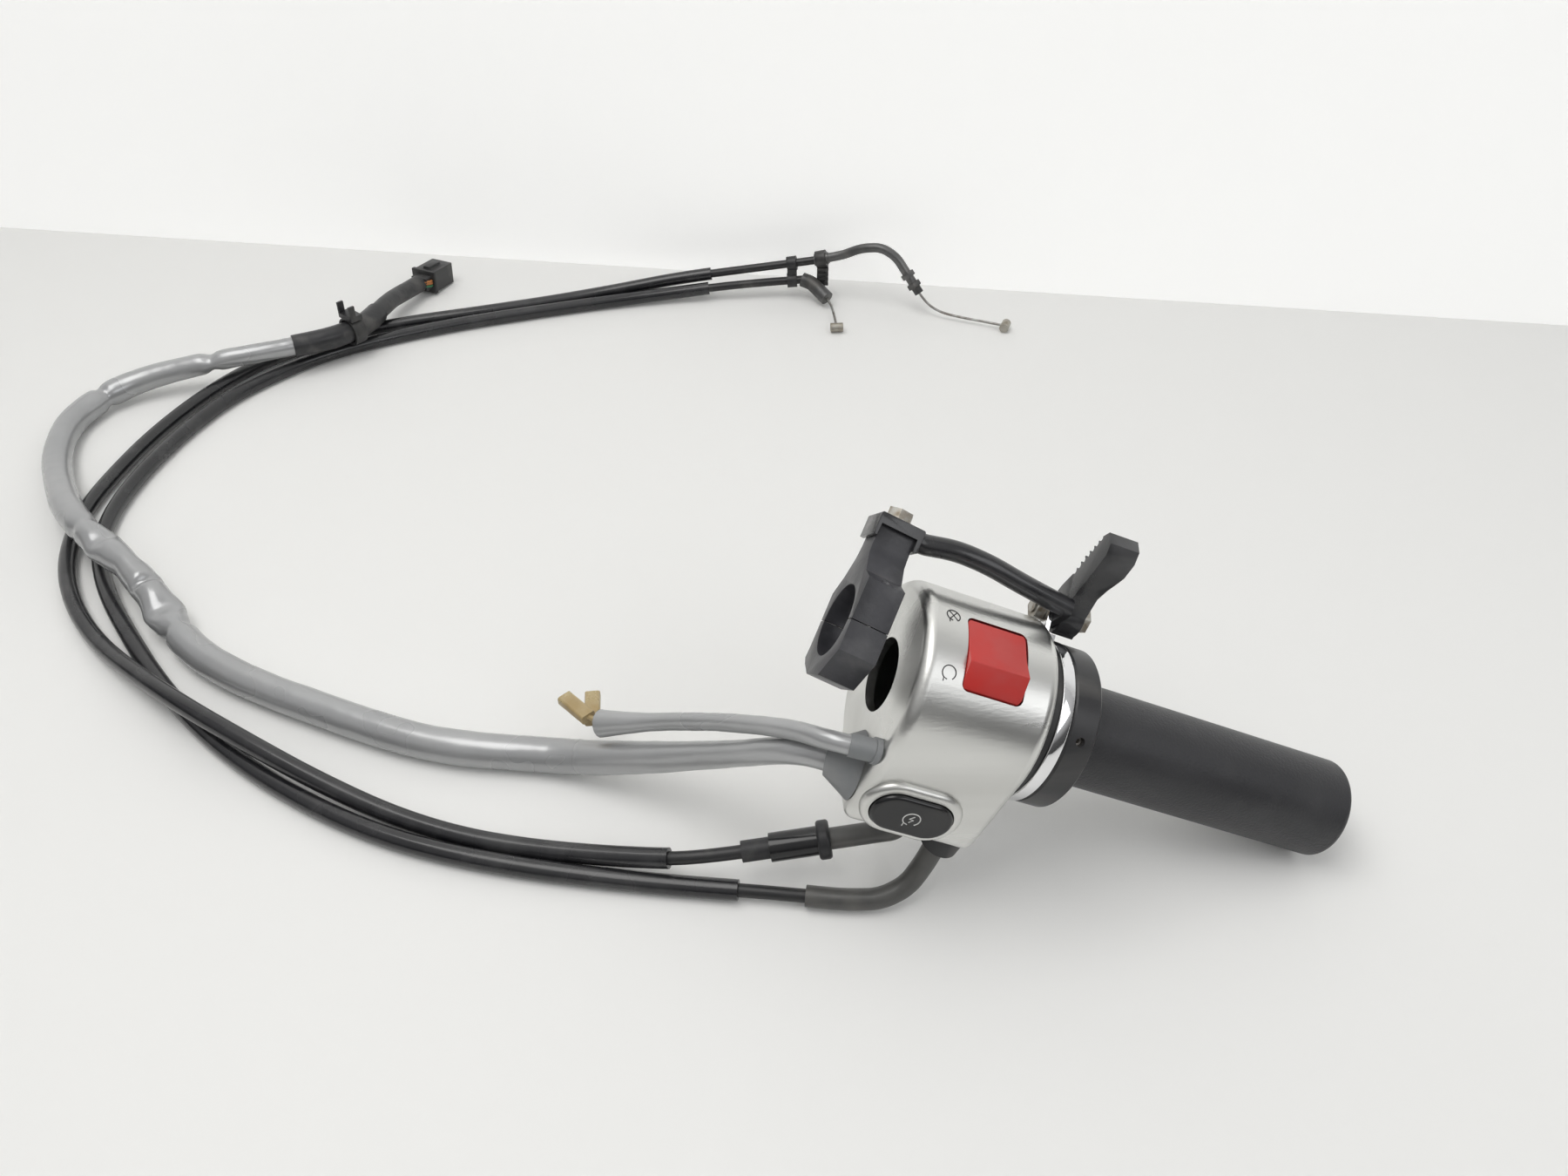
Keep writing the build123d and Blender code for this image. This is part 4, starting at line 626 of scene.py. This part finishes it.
@dataclass
class CableSet:
    """The two throttle cables with their sleeves, and the bare wire ends."""

    wardrobe: Wardrobe
    cable_radius: float = 2.5
    sleeve_radius: float = 3.85
    wire_radius: float = 0.75

    def build(self) -> None:
        """Make both cables and both wires."""
        self.cable("upper", UPPER_CABLE, 0.91, (0.033, 0.929),
                   ["pull_ferrule", "pull_end_pipe", "pull_thread", "pull_nut_1_rounded", "pull_nut_2_rounded",
                    "end_bracket_rounded"])
        self.cable("lower", LOWER_CABLE, 0.897, (0.030, 0.935), ["return_fitting", "cable_clip_1_rounded"])
        self.wire("pull", PULL_WIRE, 0.058)
        self.wire("return", RETURN_WIRE, 0.0335)

    def cable(self, side: str, points: list[Point], length: float, covered: tuple[float, float],
              fittings: list[str]) -> None:
        """One cable with the loose sleeve over most of it.

        Args:
            side: which cable.
            points: its route.
            length: its length in metres; not used.
            covered: shares of the length between which the sleeve lies.
            fittings: pieces fixed on its far end; not used.
        """
        route = Route(f"{side}_cable", points, self.cable_radius)
        cable = route.curve(f"{side}_cable_cord")
        sleeve = to_mesh(route.curve(f"{side}_cable_cover", self.sleeve_radius, *covered))
        self.wardrobe.dress(cable, "cable_black")
        self.wardrobe.dress(sleeve, "sleeve_grey")
        ride_slot(cable, "housing")
        ride_slot(sleeve, "housing")
        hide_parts(f"{side}_cable")
        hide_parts(f"{side}_cable_sleeve")
        LOG.info("made the %s cable", side)

    def wire(self, side: str, points: list[Point], length: float) -> None:
        """One bare stranded wire end.

        Args:
            side: which cable it belongs to.
            points: its route.
            length: its length in metres; not used.
        """
        wire = Route(f"{side}_wire", points, self.wire_radius).curve(f"{side}_wire_cord")
        self.wardrobe.dress(wire, "wire_steel")
        ride_slot(wire, "housing")
        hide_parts(f"{side}_wire")
        LOG.info("made the %s wire", side)


@dataclass
class Harness:
    """The grey sheathed harness, its taped end and branch, and the brake switch lead."""

    wardrobe: Wardrobe
    radius: float = 7.0
    neck_radius: float = 4.75
    tail_radius: float = 5.25
    tape_radius: float = 6.3
    lead_radius: float = 3.3
    shoulder_radii: tuple[float, float] = (5.2, 6.1)
    taper_radii: tuple[float, float] = (6.6, 5.8)
    lead_flare_radii: tuple[float, float] = (3.5, 5.4)
    fine_rings: int = 24

    def build(self) -> None:
        """Make all the harness pieces."""
        tape = self.tube("harness_tape_cover", TAPE_END, self.tape_radius, "tape_black", "harness_tape")
        branch = self.tube("harness_branch_cover", BRANCH, self.tail_radius, "tape_black", "harness_branch")
        self.sheath()
        self.lead()

    def tube(self, name: str, points: list[Point], radius: float, finish: str, node: str) -> bpy.types.Object:
        """A smooth tube in place of a short CAD one.

        Args:
            name: name of the new piece.
            points: its route.
            radius: its radius in millimetres.
            finish: name of its finish.
            node: the CAD node that it stands for.

        Returns:
            The new piece.
        """
        piece = to_mesh(Route(name, points, radius).curve(name))
        self.roughen(piece, 0.0005, 0.012)
        self.wardrobe.dress(piece, finish)
        ride_slot(piece, "housing")
        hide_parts(node)
        return piece

    @staticmethod
    def roughen(piece: bpy.types.Object, depth: float, size: float) -> None:
        """Give a soft tube the uneven surface of a loose sleeve.

        Args:
            piece: the tube's mesh.
            depth: height of the waves in metres.
            size: size of the waves in metres.
        """
        texture = bpy.data.textures.new(f"{piece.name}_waves", "CLOUDS")
        texture.noise_scale = size
        waves = piece.modifiers.new("waves", "DISPLACE")
        waves.texture = texture
        waves.texture_coords = "LOCAL"
        waves.strength = depth
        waves.mid_level = 0.5
        choose(piece)
        bpy.ops.object.modifier_apply(modifier=waves.name)

    def sheath(self) -> None:
        """The main sheath, narrow at both ends, with its creases.
        """
        neck = [self.neck_radius] * 4 + list(self.shoulder_radii)
        tail = list(self.taper_radii) + [self.tail_radius] * 2
        middle = [self.radius] * (len(HARNESS_SHEATH) - len(neck) - len(tail))
        radii = neck + middle + tail
        route = Route("harness_sheath", HARNESS_SHEATH, self.radius, radii)
        path = route.path()
        piece = to_mesh(route.curve("harness_sheath", rings=self.fine_rings))
        line = [Vector(p) for p in path]
        for crease in CREASES:
            crease.press(piece, line)
        self.roughen(piece, 0.0006, 0.024)
        self.roughen(piece, 0.00012, 0.006)
        self.wardrobe.dress(piece, "harness_pvc")
        ride_slot(piece, "housing")
        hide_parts("harness_neck", "harness_main", "harness_tail")
        LOG.info("made the harness sheath")

    def lead(self) -> None:
        """The brake switch lead."""
        flare = [self.lead_radius] * (len(LEAD) - 2) + list(self.lead_flare_radii)
        route = Route("brake_lead", LEAD, self.lead_radius, flare)
        path = route.path()
        piece = to_mesh(route.curve("brake_lead_sheath"))
        self.roughen(piece, 0.0004, 0.01)
        self.wardrobe.dress(piece, "harness_pvc")
        ride_slot(piece, "housing")
        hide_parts("brake_lead")
        LOG.info("made the brake switch lead")


@dataclass
class LooseStrands:
    """Short bare strands that show where the branch enters its connector."""

    wardrobe: Wardrobe
    thickness: float = 0.75

    @staticmethod
    def frame_at(before: Point, end: Point) -> tuple[Vector, Vector, Vector, Vector]:
        """Directions at the end of a run.

        Args:
            before: a point before the end.
            end: the end.

        Returns:
            The end, and unit vectors ahead, to the right and up.
        """
        ahead = (Vector(end) - Vector(before)).normalized()
        right = ahead.cross(Vector((0, 0, 1))).normalized()
        return Vector(end), ahead, right, right.cross(ahead)

    def strand(self, name: str, before: Point, end: Point, steps: list[Point], finish: str) -> bpy.types.Object:
        """One short strand.

        Args:
            name: name of the piece.
            before: a point before the end that it starts from.
            end: that end.
            steps: its points as distances ahead, to the right and up.
            finish: name of its finish.

        Returns:
            The new piece.
        """
        base, ahead, right, up = self.frame_at(before, end)
        points = [tuple(base + ahead * a + right * r + up * u) for a, r, u in steps]
        piece = to_mesh(Route(name, points, self.thickness).curve(name))
        self.wardrobe.dress(piece, finish)
        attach(piece, "housing")
        return piece

    def build(self) -> None:
        """Make the strands at the connector."""
        for index, (out, finish) in enumerate(((1.5, "copper_wire"), (0.2, "copper_wire"), (-1.4, "green_wire"))):
            steps = [(-2.0, 2.6, out), (1.0, 5.2, out + 0.3), (3.2, 6.7, out), (5.4, 5.9, out - 0.3),
                     (6.6, 4.6, out - 0.4)]
            self.strand(f"connector_strand_{index + 1}", BRANCH[-2], BRANCH[-1], steps, finish)
        LOG.info("made the loose strands")


@dataclass
class Symbols:
    """The run, off and start symbols."""

    wardrobe: Wardrobe
    housing_radius: float = 33.75
    line: float = 0.2
    proud: float = 0.02
    switch_x: float = 9.0
    off_angle: float = 87.0
    run_angle: float = 52.0
    button_x: float = 19.5
    button_z: float = -23.4
    switch_ring: float = 2.3
    button_ring: float = 2.9

    @staticmethod
    def arc(radius: float, start: float, end: float, steps: int = 24) -> list[tuple[float, float]]:
        """Points of an arc.

        Args:
            radius: its radius.
            start: first angle in degrees.
            end: last angle in degrees.
            steps: number of runs.

        Returns:
            The points.
        """
        angles = [math.radians(start + (end - start) * i / steps) for i in range(steps + 1)]
        return [(radius * math.cos(a), radius * math.sin(a)) for a in angles]

    def arrow_ring(self, radius: float) -> list[list[tuple[float, float]]]:
        """An open ring with an arrowhead at one end."""
        return [self.arc(radius, -50, 230), [(-0.15 * radius, -0.95 * radius), (-0.64 * radius, -0.77 * radius),
                                             (-0.62 * radius, -1.3 * radius)]]

    def draw(self, name: str, strokes: list[list[tuple[float, float]]], place: object, body: str,
             finish: str) -> bpy.types.Object:
        """Turn strokes into thin raised lines.

        Args:
            name: name of the piece.
            strokes: lines in millimetres, across and up.
            place: function from those two to a point of the row frame.
            body: the body that it rides on.
            finish: name of its finish.

        Returns:
            The new piece.
        """
        data = bpy.data.curves.new(name, "CURVE")
        data.dimensions = "3D"
        data.bevel_depth = self.line * MM
        data.bevel_resolution = 2
        data.use_fill_caps = True
        for stroke in strokes:
            spline = data.splines.new("POLY")
            spline.points.add(len(stroke) - 1)
            for index, (u, v) in enumerate(stroke):
                spline.points[index].co = (*place(u, v), 1.0)
        piece = bpy.data.objects.new(name, data)
        bpy.context.scene.collection.objects.link(piece)
        to_mesh(piece)
        self.wardrobe.dress(piece, finish)
        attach(piece, body)
        return piece

    def on_housing(self, along: float, angle: float) -> object:
        """Place strokes on the round of the housing.

        Args:
            along: distance along the bar in millimetres.
            angle: angle up from the rider's side in degrees.

        Returns:
            A function from across and up to a point.
        """
        def place(u: float, v: float) -> Vector:
            """Point of the housing for one point of a stroke."""
            turn = math.radians(angle) + v / self.housing_radius
            radius = self.housing_radius + self.proud
            return bar_point(along + u, -radius * math.cos(turn), radius * math.sin(turn))
        return place

    def build(self) -> None:
        """Make all three symbols."""
        cross = [[(-1.5, -1.9), (1.5, 1.9)], [(-1.5, 1.9), (1.5, -1.9)]]
        ring = self.arrow_ring(self.switch_ring)
        off_place = self.on_housing(self.switch_x, self.off_angle)
        run_place = self.on_housing(self.switch_x, self.run_angle)
        self.draw("symbol_off", ring + cross, off_place, "housing", "icon_black")
        self.draw("symbol_run", ring, run_place, "housing", "icon_black")
        low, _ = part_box("start_button")
        front = low.y - self.proud * MM

        def place(u: float, v: float) -> Vector:
            """Point of the button's face for one point of a stroke."""
            point = bar_point(self.button_x + u, 0.0, self.button_z + v)
            return Vector((point.x, front, point.z))
        bolt = [[(0.5, 1.6), (-0.8, 0.1), (0.7, -0.1), (-0.4, -1.6)]]
        self.draw("symbol_start", self.arrow_ring(self.button_ring) + bolt, place, "start_button", "icon_white")
        LOG.info("made the symbols")


@dataclass
class Studio:
    """Floor, backdrop, lamps, world and camera."""

    floor_colour: Point = (0.86, 0.86, 0.845)
    wall_colour: Point = (0.88, 0.88, 0.87)
    pale_tone: Point = (0.9, 0.9, 0.89)
    floor_glow: float = 0.03
    wall_glow: float = 0.33
    floor_half: tuple[float, float] = (4.0, 3.0)
    wall_left: Point = (-0.6373, 0.5298, 0.0)
    wall_right: Point = (0.3857, 0.3908, 0.0)
    wall_reach: float = 3.0
    wall_height: float = 2.0
    key_power: float = 7.7
    fill_power: float = 2.6
    world_strength: float = 0.6
    eye: Point = (-88.0, -300.0, 378.2)
    lens: float = 29.0
    look_down: float = 49.5

    @staticmethod
    def glow_for_view(tree: bpy.types.NodeTree, amount: float) -> None:
        """Lift a sheet's brightness in direct view and in reflections, with no light on the object.

        Args:
            tree: the sheet's material tree.
            amount: brightness added.
        """
        rays = tree.nodes.new("ShaderNodeLightPath")
        seen = tree.nodes.new("ShaderNodeMath")
        seen.operation = "MAXIMUM"
        tree.links.new(rays.outputs["Is Camera Ray"], seen.inputs[0])
        tree.links.new(rays.outputs["Is Glossy Ray"], seen.inputs[1])
        lift = tree.nodes.new("ShaderNodeMath")
        lift.operation = "MULTIPLY"
        lift.inputs[1].default_value = amount
        tree.links.new(seen.outputs[0], lift.inputs[0])
        shader = tree.nodes["Principled BSDF"]
        shader.inputs["Emission Color"].default_value = (1.0, 1.0, 0.99, 1)
        tree.links.new(lift.outputs[0], shader.inputs["Emission Strength"])

    def plane(self, name: str, corners: list[Point], colour: Point, glow: float) -> bpy.types.Object:
        """A large plain sheet.

        Args:
            name: name of the piece.
            corners: its corners in metres.
            colour: its colour.
            glow: brightness added in view.

        Returns:
            The sheet.
        """
        mesh = bpy.data.meshes.new(name)
        mesh.from_pydata(corners, [], [(0, 1, 2, 3)])
        item = bpy.data.objects.new(name, mesh)
        bpy.context.scene.collection.objects.link(item)
        material = bpy.data.materials.new(name)
        material.use_nodes = True
        shader = material.node_tree.nodes["Principled BSDF"]
        shader.inputs["Base Color"].default_value = (*colour, 1)
        shader.inputs["Roughness"].default_value = 0.55
        shader.inputs["Specular IOR Level"].default_value = 0.3
        self.glow_for_view(material.node_tree, glow)
        self.open_back(material.node_tree)
        item.data.materials.append(material)
        return item

    @staticmethod
    def open_back(tree: bpy.types.NodeTree) -> None:
        """Let a sheet be seen through from its back.

        Args:
            tree: the sheet's material tree.
        """
        side = tree.nodes.new("ShaderNodeNewGeometry")
        clear = tree.nodes.new("ShaderNodeBsdfTransparent")
        mix = tree.nodes.new("ShaderNodeMixShader")
        tree.links.new(side.outputs["Backfacing"], mix.inputs[0])
        tree.links.new(tree.nodes["Principled BSDF"].outputs["BSDF"], mix.inputs[1])
        tree.links.new(clear.outputs["BSDF"], mix.inputs[2])
        tree.links.new(mix.outputs["Shader"], tree.nodes["Material Output"].inputs["Surface"])

    def lamp(self, name: str, place: Point, aim: Point, size: float, energy: float, colour: Point) -> None:
        """One soft area lamp.

        Args:
            name: its name.
            place: where it stands, in metres.
            aim: the point that it faces.
            size: its side in metres.
            energy: its power in watts.
            colour: its colour.
        """
        data = bpy.data.lights.new(name, "AREA")
        data.shape = "RECTANGLE"
        data.size = size
        data.size_y = size * 0.6
        data.energy = energy
        data.color = colour
        item = bpy.data.objects.new(name, data)
        item.location = place
        item.rotation_euler = (Vector(aim) - Vector(place)).to_track_quat("-Z", "Y").to_euler()
        bpy.context.scene.collection.objects.link(item)

    def world(self) -> None:
        """Pale surroundings with a darker band for the metal to show."""
        world = bpy.data.worlds.new("surroundings")
        bpy.context.scene.world = world
        world.use_nodes = True
        tree = world.node_tree
        back = tree.nodes["Background"]
        place = tree.nodes.new("ShaderNodeTexCoord")
        split = tree.nodes.new("ShaderNodeSeparateXYZ")
        ramp = tree.nodes.new("ShaderNodeValToRGB")
        stops = ramp.color_ramp.elements
        stops[0].position, stops[0].color = 0.0, (0.10, 0.10, 0.10, 1)
        stops[1].position, stops[1].color = 1.0, (1.0, 1.0, 1.0, 1)
        for position, level in ((0.22, 0.16), (0.36, 0.62), (0.52, 0.82)):
            stop = stops.new(position)
            stop.color = (level, level, level, 1)
        tree.links.new(place.outputs["Generated"], split.inputs["Vector"])
        tree.links.new(split.outputs["Z"], ramp.inputs["Fac"])
        tree.links.new(ramp.outputs["Color"], back.inputs["Color"])
        back.inputs["Strength"].default_value = self.world_strength
        self.pale_view(tree, back)

    def pale_view(self, tree: bpy.types.NodeTree, back: bpy.types.ShaderNode) -> None:
        """Show a plain pale tone wherever the surroundings are seen directly.

        Args:
            tree: the world's tree.
            back: the background that lights the object.
        """
        rays = tree.nodes.new("ShaderNodeLightPath")
        pale = tree.nodes.new("ShaderNodeBackground")
        pale.inputs["Color"].default_value = (*self.pale_tone, 1)
        mix = tree.nodes.new("ShaderNodeMixShader")
        tree.links.new(rays.outputs["Is Camera Ray"], mix.inputs[0])
        tree.links.new(back.outputs["Background"], mix.inputs[1])
        tree.links.new(pale.outputs["Background"], mix.inputs[2])
        tree.links.new(mix.outputs["Shader"], tree.nodes["World Output"].inputs["Surface"])

    def build(self) -> None:
        """Make the whole set."""
        scene = bpy.context.scene
        scene.view_settings.view_transform = "Standard"
        x, y = self.floor_half
        self.plane("floor", [(-x, -y, 0), (x, -y, 0), (x, y, 0), (-x, y, 0)], self.floor_colour, self.floor_glow)
        left = Vector(self.wall_left)
        right = Vector(self.wall_right)
        along = (right - left).normalized() * self.wall_reach
        rise = Vector((0, 0, self.wall_height))
        corners = [left - along, right + along, right + along + rise, left - along + rise]
        self.plane("backdrop", [tuple(c) for c in corners], self.wall_colour, self.wall_glow)
        self.lamp("key", (-0.45, -0.05, 1.35), (-0.1, 0.1, 0), 1.1, self.key_power, (1.0, 0.99, 0.97))
        self.lamp("fill", (0.75, -0.7, 0.9), (0, 0, 0.05), 0.9, self.fill_power, (0.97, 0.98, 1.0))
        self.world()
        data = bpy.data.cameras.new("camera")
        data.sensor_width = 36
        data.lens = self.lens
        data.clip_start = 0.01
        camera = bpy.data.objects.new("camera", data)
        camera.location = table_point(self.eye)
        camera.rotation_euler = (math.radians(self.look_down), 0, 0)
        scene.collection.objects.link(camera)
        scene.camera = camera


def main() -> None:
    """Build every sub-assembly in order."""
    logging.basicConfig(level=logging.INFO, format="%(message)s")
    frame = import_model()
    Studio().build()
    wardrobe = Wardrobe()
    dresser = FrameDresser(wardrobe, frame)
    dresser.dress()
    dresser.soften()
    CableSet(wardrobe).build()
    Harness(wardrobe).build()
    LooseStrands(wardrobe).build()
    Symbols(wardrobe).build()


if __name__ == "__main__":
    main()
